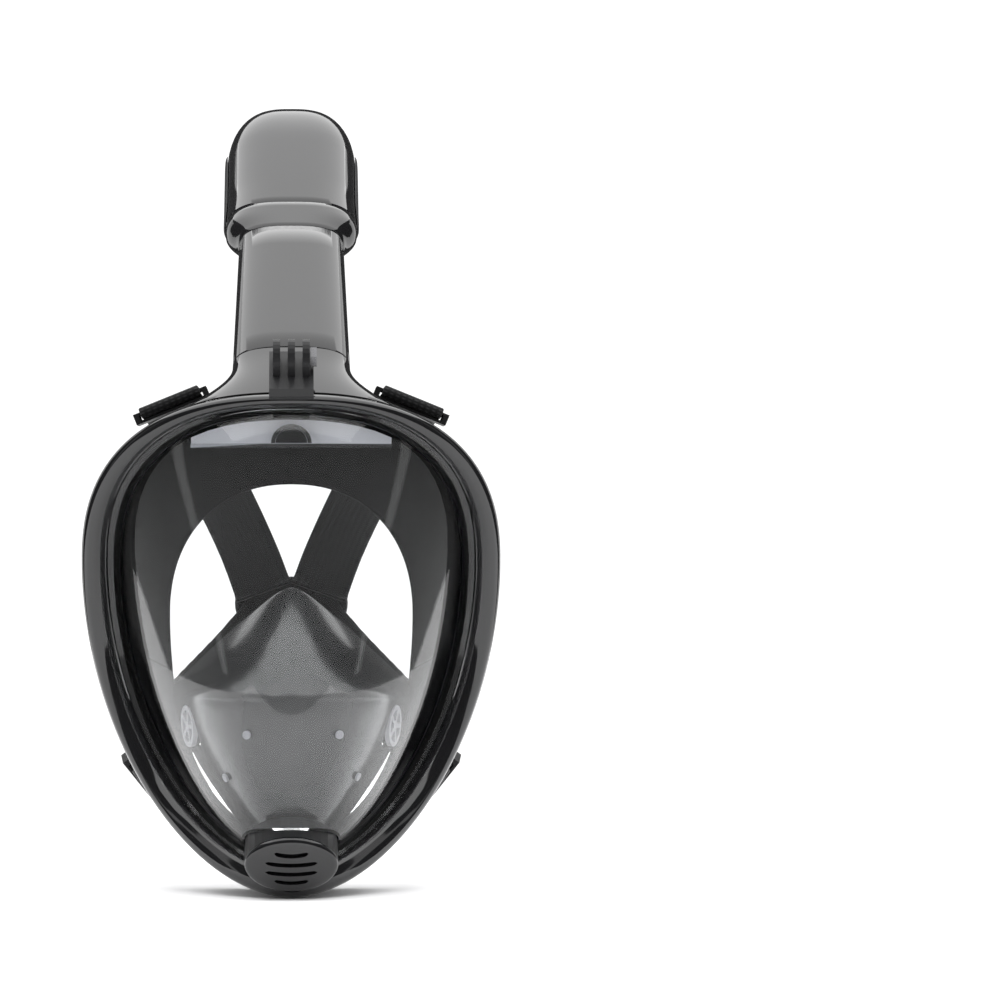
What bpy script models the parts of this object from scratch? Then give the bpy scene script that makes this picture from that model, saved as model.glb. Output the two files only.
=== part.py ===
import math

import bmesh
import bpy
from mathutils import Matrix, Vector

# Full face snorkel mask.  X runs across the mask, -Y is forward, +Z is up.
# Lengths below are millimetres; MM turns them into metres.
MM = 0.001
GAP = 0.3

# Mask outline, an egg made of two superellipse halves that meet at OUTLINE_Z
HALF_WIDTH = 89.4
OUTLINE_Z = 17.0
UPPER_RISE = 73.0
UPPER_POWER = 2.45
LOWER_DROP = 138.0
LOWER_POWER = 1.9
CROWN_SHARE = 0.5
STEPS = 52

# Saddle of the front ring (forward distance against height) and of the rear edge
RING_LOW_Z = -37.0
RING_TOP_RISE = 62.0
RING_CHIN_RISE = 58.0
RING_CHIN_POWER = 2.8
REAR_LOW_Z = -60.0
REAR_BACK = -30.0
REAR_TOP_RISE = 60.0
REAR_TOP_POWER = 2.6
REAR_CHIN_RISE = 25.0

# Lens
LENS_THICK = 1.8
LENS_INSET = 14.0
LENS_FLANGE = 7.2
LENS_LEVEL = -1.9
LENS_FRONT = 82.0
LENS_FRONT_Z = 5.0
LENS_TOP_FALL = 19.4
LENS_CHIN_FALL = 17.0
LENS_SWEEP = 2.2

# Frame and skirt
FRAME_REAR = 0.62
FRAME_TAB_SHARE = 0.14
FRAME_CHIN_SHARE = 0.17
SKIRT_LEVEL = -4.9
SKIRT_THICK = 1.8
OPENING_HALF = 52.0
OPENING_Z = -5.0
OPENING_UP = 57.0
OPENING_DOWN = 95.0
OPENING_POWER = 2.2
LIP_FORWARD = 8.0

# Nose pocket
POCKET_THICK = 2.0
POCKET_TOP_Z = 10.0
CREASE_Z = -38.0
POCKET_BOTTOM_Z = -97.0
POCKET_SIDE = 3.0
POCKET_NOSE = 1.7

# Snorkel, measured along its own axis from the seam with the socket
SEAM = Vector((0.0, -22.0, 100.0))
AXIS = Vector((0.0, 0.83, 0.56)).normalized()
FACE = Vector((0.0, -0.56, 0.83)).normalized()
TUBE_HALF_WIDTH = 25.0
TUBE_HALF_THICK = 13.0
TUBE_LENGTH = 99.0
TUBE_WALL = 2.0
NECK_START = 99.0
NECK_SLOPE = 45.0
HEAD_SEAM = 120.0
HEAD_END = 213.0
GRILLE_SPAN = (108.0, 138.0)
HEAD_HALF_WIDTH = 29.0
HEAD_TAPER = 0.2
HEAD_DROP = 32.0
HEAD_WALL = 2.0
SPIGOT_LENGTH = 6.0

# Camera mount (three-finger action camera pattern)
FINGER_PITCH = 6.2
FINGER_THICK = 3.0
FINGER_RADIUS = 7.5
MOUNT_HOLE = 2.5
LUG_ALONG = -26.3
LUG_OUT = 24.5

# Chin valve
CHIN_NORMAL = Vector((0.0, -0.85, -0.53)).normalized()
CHIN_UP = Vector((0.0, -0.53, 0.85)).normalized()
CHIN_CENTRE = Vector((0.0, -68.0, -106.0))
CHIN_HALF_WIDTH = 19.5
CHIN_HALF_HEIGHT = 13.5

# Inhale valves on the pocket cheeks
VALVE_RADIUS = 8.8
VALVE_CENTRE = Vector((41.6, -28.0, -50.0))
VALVE_NORMAL = Vector((0.95, -0.3, -0.1)).normalized()

# Harness
STRAP_WIDTH = 27.0
STRAP_THICK = 1.8
BRACKET_X = 49.5
CLIP_Z = -82.0
PAD_Z = 0.0


def clear_scene():
    for item in list(bpy.data.objects):
        bpy.data.objects.remove(item, do_unlink=True)


def material(name, colour, roughness, metallic=0.0, alpha=1.0):
    made = bpy.data.materials.new(name)
    made.use_nodes = True
    made.diffuse_color = (*colour, alpha)
    shader = made.node_tree.nodes["Principled BSDF"]
    shader.inputs["Base Color"].default_value = (*colour, 1.0)
    shader.inputs["Roughness"].default_value = roughness
    shader.inputs["Metallic"].default_value = metallic
    shader.inputs["Alpha"].default_value = alpha
    return made


def put(name, mesh, slot, origin=Vector(), collection=None):
    """Adds a mesh built in world millimetres as an object whose origin is at origin."""
    mesh.transform(Matrix.Scale(MM, 4) @ Matrix.Translation(-origin))
    mesh.name = name
    made = bpy.data.objects.new(name, mesh)
    made.location = origin * MM
    if slot is not None:
        mesh.materials.append(slot)
    (collection or PARTS).objects.link(made)
    return made


def from_bmesh(shape):
    bmesh.ops.recalc_face_normals(shape, faces=shape.faces[:])
    mesh = bpy.data.meshes.new("shape")
    shape.to_mesh(mesh)
    shape.free()
    return mesh


def loft(name, rings, slot, closed=False, origin=Vector(), collection=None, sharp=38.0):
    """Joins equal closed sections into a solid: a closed hoop, or a bar with flat ends."""
    shape = bmesh.new()
    rows = [[shape.verts.new(point) for point in ring] for ring in rings]
    count = len(rows[0])
    pairs = list(zip(rows, rows[1:]))
    if closed:
        pairs.append((rows[-1], rows[0]))
    for first, second in pairs:
        for k in range(count):
            after = (k + 1) % count
            shape.faces.new((first[k], first[after], second[after], second[k]))
    if not closed:
        shape.faces.new(rows[0])
        shape.faces.new(rows[-1])
    made = put(name, from_bmesh(shape), slot, origin, collection)
    soften(made, sharp)
    return made


def skin(name, rows, slot, thick, hoop=True, centre=None, origin=Vector(), sharp=45.0):
    """An open surface through rows of points, thickened equally to both sides."""
    shape = bmesh.new()
    grid = [[shape.verts.new(point) for point in row] for row in rows]
    for first, second in zip(grid, grid[1:]):
        span = len(first) if hoop else len(first) - 1
        for k in range(span):
            after = (k + 1) % len(first)
            shape.faces.new((first[k], first[after], second[after], second[k]))
    if centre is not None:
        hub = shape.verts.new(centre)
        last = grid[-1]
        for k in range(len(last)):
            shape.faces.new((last[k], last[(k + 1) % len(last)], hub))
    made = put(name, from_bmesh(shape), slot, origin)
    solid = made.modifiers.new("thickness", "SOLIDIFY")
    solid.thickness = thick * MM
    solid.offset = 0.0
    solid.use_even_offset = True
    soften(made, sharp)
    return made


def soften(made, angle):
    made.data.shade_smooth()
    made.data.set_sharp_from_angle(angle=math.radians(angle))


def cut(made, cutter, operation="DIFFERENCE"):
    change = made.modifiers.new(operation.lower(), "BOOLEAN")
    change.operation = operation
    change.solver = "EXACT"
    change.object = cutter


def bevel(made, width, segments=2, angle=40.0):
    change = made.modifiers.new("bevel", "BEVEL")
    change.width = width * MM
    change.segments = segments
    change.limit_method = "ANGLE"
    change.angle_limit = math.radians(angle)
    return change


def signed_power(value, power):
    return math.copysign(abs(value) ** power, value)


def outline(angle, inset=0.0):
    """X and Z of the egg outline, moved inwards by inset (less of it at the crown)."""
    lower = math.sin(angle) < 0.0
    height = (LOWER_DROP - inset) if lower else (UPPER_RISE - CROWN_SHARE * inset)
    power = LOWER_POWER if lower else UPPER_POWER
    x = (HALF_WIDTH - inset) * signed_power(math.cos(angle), 2.0 / power)
    z = OUTLINE_Z + height * signed_power(math.sin(angle), 2.0 / power)
    return x, z


def half_width_at(z, inset):
    lower = z < OUTLINE_Z
    height = (LOWER_DROP - inset) if lower else (UPPER_RISE - CROWN_SHARE * inset)
    power = LOWER_POWER if lower else UPPER_POWER
    share = min(1.0, abs(z - OUTLINE_Z) / height)
    return (HALF_WIDTH - inset) * (1.0 - share**power) ** (1.0 / power)


def ring_forward(z):
    if z > RING_LOW_Z:
        return RING_TOP_RISE * ((z - RING_LOW_Z) / (OUTLINE_Z + UPPER_RISE - RING_LOW_Z)) ** 2
    share = (RING_LOW_Z - z) / (RING_LOW_Z - OUTLINE_Z + LOWER_DROP)
    return RING_CHIN_RISE * share**RING_CHIN_POWER


def rear_forward(z):
    if z > REAR_LOW_Z:
        share = (z - REAR_LOW_Z) / (OUTLINE_Z + UPPER_RISE - REAR_LOW_Z)
        return REAR_BACK + REAR_TOP_RISE * share**REAR_TOP_POWER
    share = (REAR_LOW_Z - z) / (REAR_LOW_Z - OUTLINE_Z + LOWER_DROP)
    return REAR_BACK + REAR_CHIN_RISE * share**2


def wall(angle, inset, level=0.0, depth=0.0):
    """A point of the mask wall: inset from the outline, level mm ahead of the ring,
    depth as a share of the way from the ring back to the rear edge."""
    x, z = outline(angle, inset)
    reach = outline(angle)[1]
    forward = ring_forward(reach) * (1.0 - depth) + rear_forward(reach) * depth + level
    return Vector((x, -forward, z))


def angles(count=STEPS):
    """Angles that space the outline evenly enough at the crown and the chin."""
    return [math.tau * k / count - math.pi / 2.0 for k in range(count)]


def lens_forward(x, z):
    """Forward distance of the lens: a bowed centre line swept back to the ring."""
    crown = UPPER_RISE - CROWN_SHARE * LENS_INSET
    chin = LOWER_DROP - LENS_INSET
    if z > LENS_FRONT_Z:
        share = min(1.0, (z - LENS_FRONT_Z) / (OUTLINE_Z + crown - LENS_FRONT_Z))
        middle = LENS_FRONT - LENS_TOP_FALL * share**1.85
    else:
        share = min(1.0, (LENS_FRONT_Z - z) / (LENS_FRONT_Z - OUTLINE_Z + chin))
        middle = LENS_FRONT - LENS_CHIN_FALL * share**3
    scale = LOWER_DROP / chin if z < OUTLINE_Z else UPPER_RISE / crown
    edge = ring_forward(OUTLINE_Z + (z - OUTLINE_Z) * scale) + LENS_LEVEL
    width = half_width_at(z, LENS_INSET)
    share = min(1.0, abs(x) / width) if width > 0.5 else 1.0
    middle = max(middle, edge)
    return middle - (middle - edge) * share**LENS_SWEEP


def snorkel_point(across, along, out):
    return SEAM + Vector((across, 0.0, 0.0)) + AXIS * along + FACE * out


def rounded(half_x, half_n, count, power=3.0, start=0.0):
    """Superellipse section points (across, out)."""
    points = []
    for k in range(count):
        angle = math.tau * k / count + start
        points.append(
            (
                half_x * signed_power(math.cos(angle), 2.0 / power),
                half_n * signed_power(math.sin(angle), 2.0 / power),
            )
        )
    return points


def bezel_ring(slot):
    profile = [
        (0.0, -3.7), (0.0, 1.0), (1.6, 3.6), (5.0, 4.6), (9.2, 3.4), (11.0, 0.8),
        (11.0, -0.2), (6.6, -0.2), (6.6, -3.7),
    ]
    rings = [[wall(a, n, f) for n, f in profile] for a in angles()]
    return loft("bezel_ring", rings, slot, closed=True)


def frame_depth(z):
    """How far back the hard frame reaches, as a share of the wall: furthest round the chin."""
    tab = FRAME_TAB_SHARE * smooth((-50.0 - z) / 30.0)
    return FRAME_REAR + tab + FRAME_CHIN_SHARE * smooth((-88.0 - z) / 20.0)


def rear_frame(slot):
    front = [(3.2, -8.6), (14.4, -8.6), (14.4, -6.6), (6.2, -6.6), (6.2, -4.1), (0.3, -4.1)]
    rings = []
    for a in angles():
        ring = [wall(a, n, f) for n, f in front]
        rear = frame_depth(outline(a)[1])
        ring += [wall(a, n, 0.0, rear) for n in (0.3, 3.2)]
        rings.append(ring)
    return loft("rear_frame", rings, slot, closed=True, sharp=30.0)


def opening_point(angle):
    lower = math.sin(angle) < 0.0
    height = OPENING_DOWN if lower else OPENING_UP
    x = OPENING_HALF * signed_power(math.cos(angle), 2.0 / OPENING_POWER)
    z = OPENING_Z + height * signed_power(math.sin(angle), 2.0 / OPENING_POWER)
    reach = outline(angle)[1]
    return Vector((x, -(rear_forward(reach) + LIP_FORWARD), z))


def face_skirt(slot):
    rows = []
    for inset, level, depth in (
        (7.8, SKIRT_LEVEL, 0.0), (16.4, SKIRT_LEVEL, 0.0), (16.6, 0.0, 0.38), (8.6, 0.0, 0.56),
        (5.2, 0.0, 0.69), (5.2, 0.0, 0.9), (9.5, 0.0, 1.0),
    ):
        rows.append([wall(a, inset, level, depth) for a in angles()])
    edge = [opening_point(a) for a in angles()]
    rows.append([p.lerp(q, 0.5) + Vector((0.0, -2.0, 0.0)) for p, q in zip(rows[-1], edge)])
    rows.append(edge)
    return skin("face_skirt", rows, slot, SKIRT_THICK)


def visor_lens(slot, cutter):
    rows = [[wall(a, inset, LENS_LEVEL) for a in angles()] for inset in (LENS_FLANGE, LENS_INSET)]
    middle_z = -10.0
    for share in (0.965, 0.9, 0.78, 0.62, 0.42, 0.2):
        row = []
        for a in angles():
            x, z = outline(a, LENS_INSET)
            x, z = x * share, middle_z + (z - middle_z) * share
            row.append(Vector((x, -lens_forward(x, z), z)))
        rows.append(row)
    made = skin("visor_lens", rows, slot, LENS_THICK, centre=(0, -lens_forward(0, middle_z), middle_z))
    cut(made, cutter)
    return made


def pocket_width(z):
    """Half width of the pocket: broad at the cheeks, narrow at the chin."""
    share = (CREASE_Z - z) / (CREASE_Z - POCKET_BOTTOM_Z)
    return 50.0 - 32.0 * share**1.5


def pocket_rear(z):
    share = (CREASE_Z - z) / (CREASE_Z - POCKET_BOTTOM_Z)
    return rear_forward(z) + LIP_FORWARD + 6.0 + 12.0 * max(0.0, share) ** 2


def pocket_front(z):
    share = (CREASE_Z - z) / (CREASE_Z - POCKET_BOTTOM_Z)
    return 70.0 - 15.0 * max(0.0, share) ** 1.8


def pocket_row(z, count=21):
    row = []
    for k in range(count):
        turn = math.pi * (k / (count - 1.0) - 0.5)
        rear = pocket_rear(z)
        x = pocket_width(z) * signed_power(math.sin(turn), 2.0 / POCKET_SIDE)
        forward = rear + (pocket_front(z) - rear) * max(0.0, math.cos(turn)) ** (2.0 / POCKET_NOSE)
        row.append(Vector((x, -forward, z)))
    return row


def nose_pocket(slot):
    crease = pocket_row(CREASE_Z)
    rows = []
    for share in (1.0, 0.66, 0.33):
        row = []
        for point in crease:
            side = abs(point.x) / 50.0
            top_z = POCKET_TOP_Z + (CREASE_Z + 3.0 - POCKET_TOP_Z) * side**1.15
            top_forward = 40.0 + (pocket_rear(CREASE_Z) - 40.0) * side**1.3
            top = Vector((point.x, -min(top_forward, -point.y), top_z))
            row.append(point.lerp(top, share) + Vector((0.0, 0.0, 3.0 * share * (1.0 - share))))
        rows.append(row)
    rows.append(crease)
    for share in (0.25, 0.5, 0.75, 1.0):
        rows.append(pocket_row(CREASE_Z + (POCKET_BOTTOM_Z - CREASE_Z) * share))
    return skin("nose_pocket", rows, slot, POCKET_THICK, hoop=False)


def forehead_panel(slot):
    """Clear shelf that closes the eye space off from the air duct above it."""
    level, half, rear, thick = 67.4, 42.0, 39.5, 1.6
    front = []
    for k in range(13):
        x = -half + 2.0 * half * k / 12.0
        front.append((x, lens_forward(x, level + 1.0) - 3.2))
    shape = [(x, f) for x, f in front] + [(half, rear), (-half, rear)]
    shelf = loft("forehead_panel", [[Vector((x, -f, z)) for x, f in shape] for z in (level, level + thick)], slot)
    crown = [(x, forehead_top(x)) for x, f in front]
    upright = [(-half, level + 0.4), (half, level + 0.4)] + crown[::-1]
    back = loft("forehead_back", [[Vector((x, -f, z)) for x, z in upright] for f in (rear, rear + thick)], None)
    hide(back)
    cut(shelf, back, "UNION")
    return shelf


def forehead_top(x):
    """Top of the chamber's back wall, just under the skirt."""
    share = abs(x) / (HALF_WIDTH - 16.6)
    height = (UPPER_RISE - 8.3) * (1.0 - share**UPPER_POWER) ** (1.0 / UPPER_POWER)
    return OUTLINE_Z + height - 2.4


def duct_nozzle(slot):
    """Half dome that brings fresh air from the snorkel into the forehead chamber."""
    rings = []
    for forward in (44.0, 58.0):
        section = []
        for radius, order in ((8.5, 1), (6.9, -1)):
            for k in range(13)[::order]:
                a = math.pi * k / 12.0
                section.append(
                    Vector((radius * math.cos(a), -forward, 69.4 + 0.92 * radius * math.sin(a)))
                )
        rings.append(section)
    return loft("duct_nozzle", rings, slot)


def snorkel_socket(slot):
    """Hollow hood that flares from the tube seam down on to the top of the frame."""
    outer, inner = [], []
    for share in (0.0, 0.2, 0.4, 0.6, 0.8, 0.92, 1.0):
        grow = 0.5 - 0.5 * math.cos(math.pi * share)
        flare = share**2.6
        for target, less in ((outer, 0.0), (inner, 2.6)):
            ring = []
            across = TUBE_HALF_WIDTH + 18.0 * flare - less
            thick = TUBE_HALF_THICK + 1.4 * grow - less
            for x, n in rounded(across, thick, 28, 3.0 - 0.6 * share):
                point = snorkel_point(x, -0.3, n)
                base_x = x
                base_y = -46.4 - n * 1.02
                base_z = roof(base_x) + 0.5
                base = Vector((base_x, base_y, base_z))
                ring.append(point.lerp(base, share))
            target.append(ring)
    shape = bmesh.new()
    rows = [[shape.verts.new(p) for p in ring] for ring in outer + inner[::-1]]
    for first, second in zip(rows, rows[1:] + rows[:1]):
        for k in range(28):
            after = (k + 1) % 28
            shape.faces.new((first[k], first[after], second[after], second[k]))
    made = put("snorkel_socket", from_bmesh(shape), slot)
    soften(made, 50.0)
    return made


def roof(x):
    share = min(1.0, abs(x) / HALF_WIDTH)
    return OUTLINE_Z + UPPER_RISE * (1.0 - share**UPPER_POWER) ** (1.0 / UPPER_POWER)


def tube_half(name, slot, side, start, end, half_width, half_thick):
    """Half of the oval tube: side +1 is the glossy front shell, -1 the rear shell."""
    rings = []
    count = 14
    for along in (start, (start + end) / 2.0, end):
        share = (along - start) / (end - start)
        width = half_width - 2.0 * share
        section = []
        for less, order in ((0.0, 1), (TUBE_WALL, -1)):
            for k in range(count + 1)[::order]:
                turn = math.pi * k / count
                x = (width - less) * signed_power(math.cos(turn), 2.0 / 2.8)
                n = (half_thick - less) * abs(math.sin(turn)) ** (2.0 / 2.8)
                section.append(snorkel_point(x, along, side * (n + GAP / 2.0)))
        rings.append(section)
    return loft(name, rings, slot)


def box_along(name, slot, across, along, out, origin=Vector(), bevel_width=0.0):
    """A block given by its ranges across, along and out of the snorkel axis."""
    rings = []
    for distance in along:
        rings.append(
            [
                snorkel_point(x, distance, n)
                for x, n in (
                    (across[0], out[0]), (across[1], out[0]),
                    (across[1], out[1]), (across[0], out[1]),
                )
            ]
        )
    made = loft(name, rings, slot, origin=origin)
    if bevel_width:
        bevel(made, bevel_width)
    return made


def snorkel_spigot(slot):
    """Plug at the foot of the tube, open through the middle."""
    return sleeve("snorkel_spigot", slot, -SPIGOT_LENGTH, -0.6, 19.0, 5.6, 1.6)


def sleeve(name, slot, start, end, half_width, half_thick, thick, origin=Vector(), count=24):
    sections = []
    for less, order in ((0.0, (start, end)), (thick, (end, start))):
        for along in order:
            sections.append(
                [
                    snorkel_point(x, along, n)
                    for x, n in rounded(half_width - less, half_thick - less, count, 2.8)
                ]
            )
    return loft(name, sections, slot, closed=True, origin=origin)


def smooth(share):
    share = min(1.0, max(0.0, share))
    return share * share * (3.0 - 2.0 * share)


def head_section(along, less=0.0, count=28):
    """Section of the intake head; it hangs below the line of the tube."""
    neck = smooth((along - NECK_START) / 14.0)
    drop = smooth((along - NECK_START) / NECK_SLOPE)
    tip = max(0.0, (along - 178.0) / (HEAD_END - 178.0))
    close = math.sqrt(max(0.0, 1.0 - tip * tip * 0.985))
    width = (23.0 + (HEAD_HALF_WIDTH - 23.0) * neck) * (0.45 + 0.55 * close) - less
    top = 13.0 - 9.0 * (1.0 - close) - less
    bottom = -13.0 - (HEAD_DROP - 13.0) * drop * (0.25 + 0.75 * close) + less
    middle, half = (top + bottom) / 2.0, (top - bottom) / 2.0
    return [(x * head_taper(n / half), middle + n) for x, n in rounded(width, half, count, 2.9)]


def head_taper(height):
    """Share of the width left at a height from -1, the underside, to 1, the top."""
    return 1.0 - HEAD_TAPER * smooth(-height)


def head_side(along, n):
    """Half width of the head at a height n above the axis."""
    points = [(x, level) for x, level in head_section(along, 0.0, 120) if x >= 0.0]
    return min(points, key=lambda p: abs(p[1] - n))[0]


def head_shell(name, slot, stations, capped, cutter=None):
    """A hollow length of the head; capped closes the far end."""
    outer = [[snorkel_point(x, a, n) for x, n in head_section(a)] for a in stations]
    inner = [
        [snorkel_point(x, a, n) for x, n in head_section(a, HEAD_WALL)]
        for a in (stations[:-1] if not capped else [s for s in stations if s < HEAD_END - 5.0])
    ]
    if not capped:
        inner.append([snorkel_point(x, stations[-1], n) for x, n in head_section(stations[-1], HEAD_WALL)])
    shape = bmesh.new()
    rows = [[shape.verts.new(p) for p in ring] for ring in inner[::-1] + outer]
    pairs = list(zip(rows, rows[1:]))
    if not capped:
        pairs.append((rows[-1], rows[0]))
    for first, second in pairs:
        for k in range(len(first)):
            after = (k + 1) % len(first)
            shape.faces.new((first[k], first[after], second[after], second[k]))
    if capped:
        shape.faces.new(rows[0])
        shape.faces.new(rows[-1])
    made = put(name, from_bmesh(shape), slot)
    if cutter is not None:
        cut(made, cutter)
    soften(made, 45.0)
    return made


def head_panel(name, slot, side):
    """Thin matte panel that lies on the side of the head and follows its curve."""
    rings = []
    for along in (126.0, 128.0, 136.0, 144.0, 160.0, 180.0, 186.0):
        reach = 8.5 if 130.0 < along < 184.0 else 6.5
        levels = [-9.0 + reach * share for share in (-1.0, -0.33, 0.33, 1.0)]
        section = [(head_side(along, n) + 0.3, n) for n in levels]
        section += [(head_side(along, n) + 1.1, n) for n in levels[::-1]]
        rings.append([snorkel_point(side * x, along, n) for x, n in section])
    return loft(name, rings, slot)


def wedge_along(name, slot, across, stations, bevel_width=0.0):
    """A block along the snorkel whose stations hold (along, lower out, upper out)."""
    rings = []
    for along, low, high in stations:
        rings.append(
            [
                snorkel_point(x, along, n)
                for x, n in ((across[0], low), (across[1], low), (across[1], high), (across[0], high))
            ]
        )
    made = loft(name, rings, slot)
    if bevel_width:
        bevel(made, bevel_width)
    return made


def under_neck(along):
    """Out-distance of the outer skin under the neck."""
    return -13.0 - (HEAD_DROP - 13.0) * smooth((along - NECK_START) / NECK_SLOPE)


def intake_grille(slot):
    """Slotted plate under the sloping neck of the head where the air comes in."""
    start, end = GRILLE_SPAN
    low, high = under_neck(start), under_neck(end)
    made = wedge_along(
        "intake_grille", slot, (-18.0, 18.0), ((start, low + 0.2, low + 2.2), (end, high, high + 2.0))
    )
    for k in range(3):
        first = start + 3.2 + 9.0 * k
        slit = box_along(f"grille_slit_{k}", None, (-15.0, 15.0), (first, first + 5.2), (-45, -5))
        hide(slit)
        cut(made, slit)
    return made


def hide(tool):
    for home in list(tool.users_collection):
        home.objects.unlink(tool)
    CUTTERS.objects.link(tool)
    tool.hide_render = True
    tool.display_type = "WIRE"


def oval_solid(name, slot, centre, normal, up, profile, count=28, ratio=1.0, closed=False, origin=None):
    """A turned oval: profile holds (radius across, level along normal)."""
    side = up.cross(normal).normalized()
    rings = []
    for radius, level in profile:
        ring = []
        for k in range(count):
            a = math.tau * k / count
            ring.append(
                centre
                + side * (radius * math.cos(a))
                + up * (radius * ratio * math.sin(a))
                + normal * level
            )
        rings.append(ring)
    made = loft(name, rings, slot, closed=closed, origin=origin or Vector())
    return made


def chin_seat(slot):
    """Oval cup that carries the exhale valve; its wall runs back to meet the lens."""
    side = CHIN_UP.cross(CHIN_NORMAL).normalized()
    ratio = CHIN_HALF_HEIGHT / CHIN_HALF_WIDTH
    wide, rings = CHIN_HALF_WIDTH, []
    for radius, level, follows in (
        (wide, None, True), (wide, 0.0, False), (wide - 2.0, 0.0, False), (wide - 2.0, -4.4, False),
        (7.0, -4.4, False), (7.0, -6.0, False), (wide - 1.8, -6.0, False), (wide - 1.8, None, True),
    ):
        ring = []
        for k in range(28):
            a = math.tau * k / 28
            depth = -6.6 - 8.4 * smooth(0.75 * (1.0 + math.sin(a))) if follows else level
            spot = side * (radius * math.cos(a)) + CHIN_UP * (radius * ratio * math.sin(a))
            ring.append(CHIN_CENTRE + spot + CHIN_NORMAL * depth)
        rings.append(ring)
    loft("chin_valve_seat", rings, slot, closed=True)


def chin_flap(slot):
    wide = CHIN_HALF_WIDTH - 3.4
    return oval_solid(
        "chin_valve_flap", slot, CHIN_CENTRE, CHIN_NORMAL, CHIN_UP, [(wide, -4.1), (wide, -3.1)],
        ratio=CHIN_HALF_HEIGHT / CHIN_HALF_WIDTH, origin=CHIN_CENTRE + CHIN_NORMAL * -3.6,
    )


def chin_cover(slot):
    """Domed oval cover with curved slots that let the breath and water out."""
    ratio = CHIN_HALF_HEIGHT / CHIN_HALF_WIDTH
    wide = CHIN_HALF_WIDTH
    made = oval_solid(
        "chin_valve_cover", slot, CHIN_CENTRE, CHIN_NORMAL, CHIN_UP,
        [(wide - 3.0, 0.3), (wide, 0.3), (wide, 1.3), (wide - 1.6, 2.6), (wide - 6.0, 3.7),
         (wide - 12.0, 4.2)],
        ratio=ratio,
    )
    hollow = oval_solid(
        "chin_hollow", None, CHIN_CENTRE, CHIN_NORMAL, CHIN_UP,
        [(wide - 3.0, -1.0), (wide - 4.2, 1.0), (wide - 12.0, 2.2)], ratio=ratio,
    )
    hide(hollow)
    cut(made, hollow)
    for k in range(4):
        level = -6.9 + 4.6 * k
        reach = 11.5 - 0.09 * level * level
        slit = slit_bar(f"chin_slit_{k}", level, reach)
        hide(slit)
        cut(made, slit)
    return made


def slit_bar(name, level, reach):
    side = CHIN_UP.cross(CHIN_NORMAL).normalized()
    rings = []
    for out in (0.8, 8.0):
        ring = []
        for x, rise in (
            (-reach, 1.1), (-reach * 0.5, 0.0), (reach * 0.5, 0.0), (reach, 1.1),
            (reach, 3.1), (reach * 0.5, 2.0), (-reach * 0.5, 2.0), (-reach, 3.1),
        ):
            ring.append(CHIN_CENTRE + side * x + CHIN_UP * (level + rise - 1.5) + CHIN_NORMAL * out)
        rings.append(ring)
    return loft(name, rings, None)


def camera_mount(slot):
    """Three-finger lug on a foot that bridges the socket and the front of the ring."""
    foot_profile = [(-46.5, 16.2), (-46.5, 17.8), (-43.0, 19.4), (-14.0, 19.4), (-12.0, 16.0)]
    rings = []
    for x in (-9.3, 9.3):
        rings.append([snorkel_point(x, along, out) for along, out in foot_profile])
    foot = loft("camera_mount", rings, slot)
    for k in (-1, 0, 1):
        finger = finger_blade(f"finger_{k + 1}", k * FINGER_PITCH)
        hide(finger)
        cut(foot, finger, "UNION")
    centre = snorkel_point(0.0, LUG_ALONG, LUG_OUT)
    bore = round_bar("mount_bore", None, centre, Vector((1, 0, 0)), MOUNT_HOLE, -14.0, 14.0, 20)
    hide(bore)
    cut(foot, bore)
    return foot


def finger_blade(name, across):
    profile = [(LUG_ALONG + FINGER_RADIUS, 16.4), (LUG_ALONG - FINGER_RADIUS, 16.4)]
    for k in range(13):
        turn = math.pi - math.pi * k / 12.0
        profile.append(
            (LUG_ALONG + FINGER_RADIUS * math.cos(turn), LUG_OUT + FINGER_RADIUS * math.sin(turn))
        )
    half = FINGER_THICK / 2.0
    rings = [
        [snorkel_point(x, along, out) for along, out in profile]
        for x in (across - half, across + half)
    ]
    return loft(name, rings, None)


def frame_of(normal):
    normal = normal.normalized()
    guide = Vector((0.0, 0.0, 1.0)) if abs(normal.z) < 0.9 else Vector((0.0, 1.0, 0.0))
    side = normal.cross(guide).normalized()
    return side, side.cross(normal).normalized() * -1.0


def round_bar(name, slot, centre, normal, radius, low, high, count=24, bore=0.0, origin=None):
    side, up = frame_of(normal)
    rings = []
    levels = ((radius, low), (radius, high))
    if bore:
        levels += ((bore, high), (bore, low))
    for size, level in levels:
        rings.append(
            [
                centre
                + normal * level
                + side * (size * math.cos(math.tau * k / count))
                + up * (size * math.sin(math.tau * k / count))
                for k in range(count)
            ]
        )
    return loft(name, rings, slot, closed=bool(bore), origin=origin or Vector())


def camera_nut(slot):
    """Hexagonal nut held against the outer face of one finger."""
    centre = snorkel_point(0.0, LUG_ALONG, LUG_OUT)
    low = FINGER_PITCH + FINGER_THICK / 2.0 + GAP
    return round_bar(
        "camera_mount_nut", slot, centre, Vector((1, 0, 0)), 4.62, low, low + 2.6, 6, MOUNT_HOLE
    )


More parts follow.
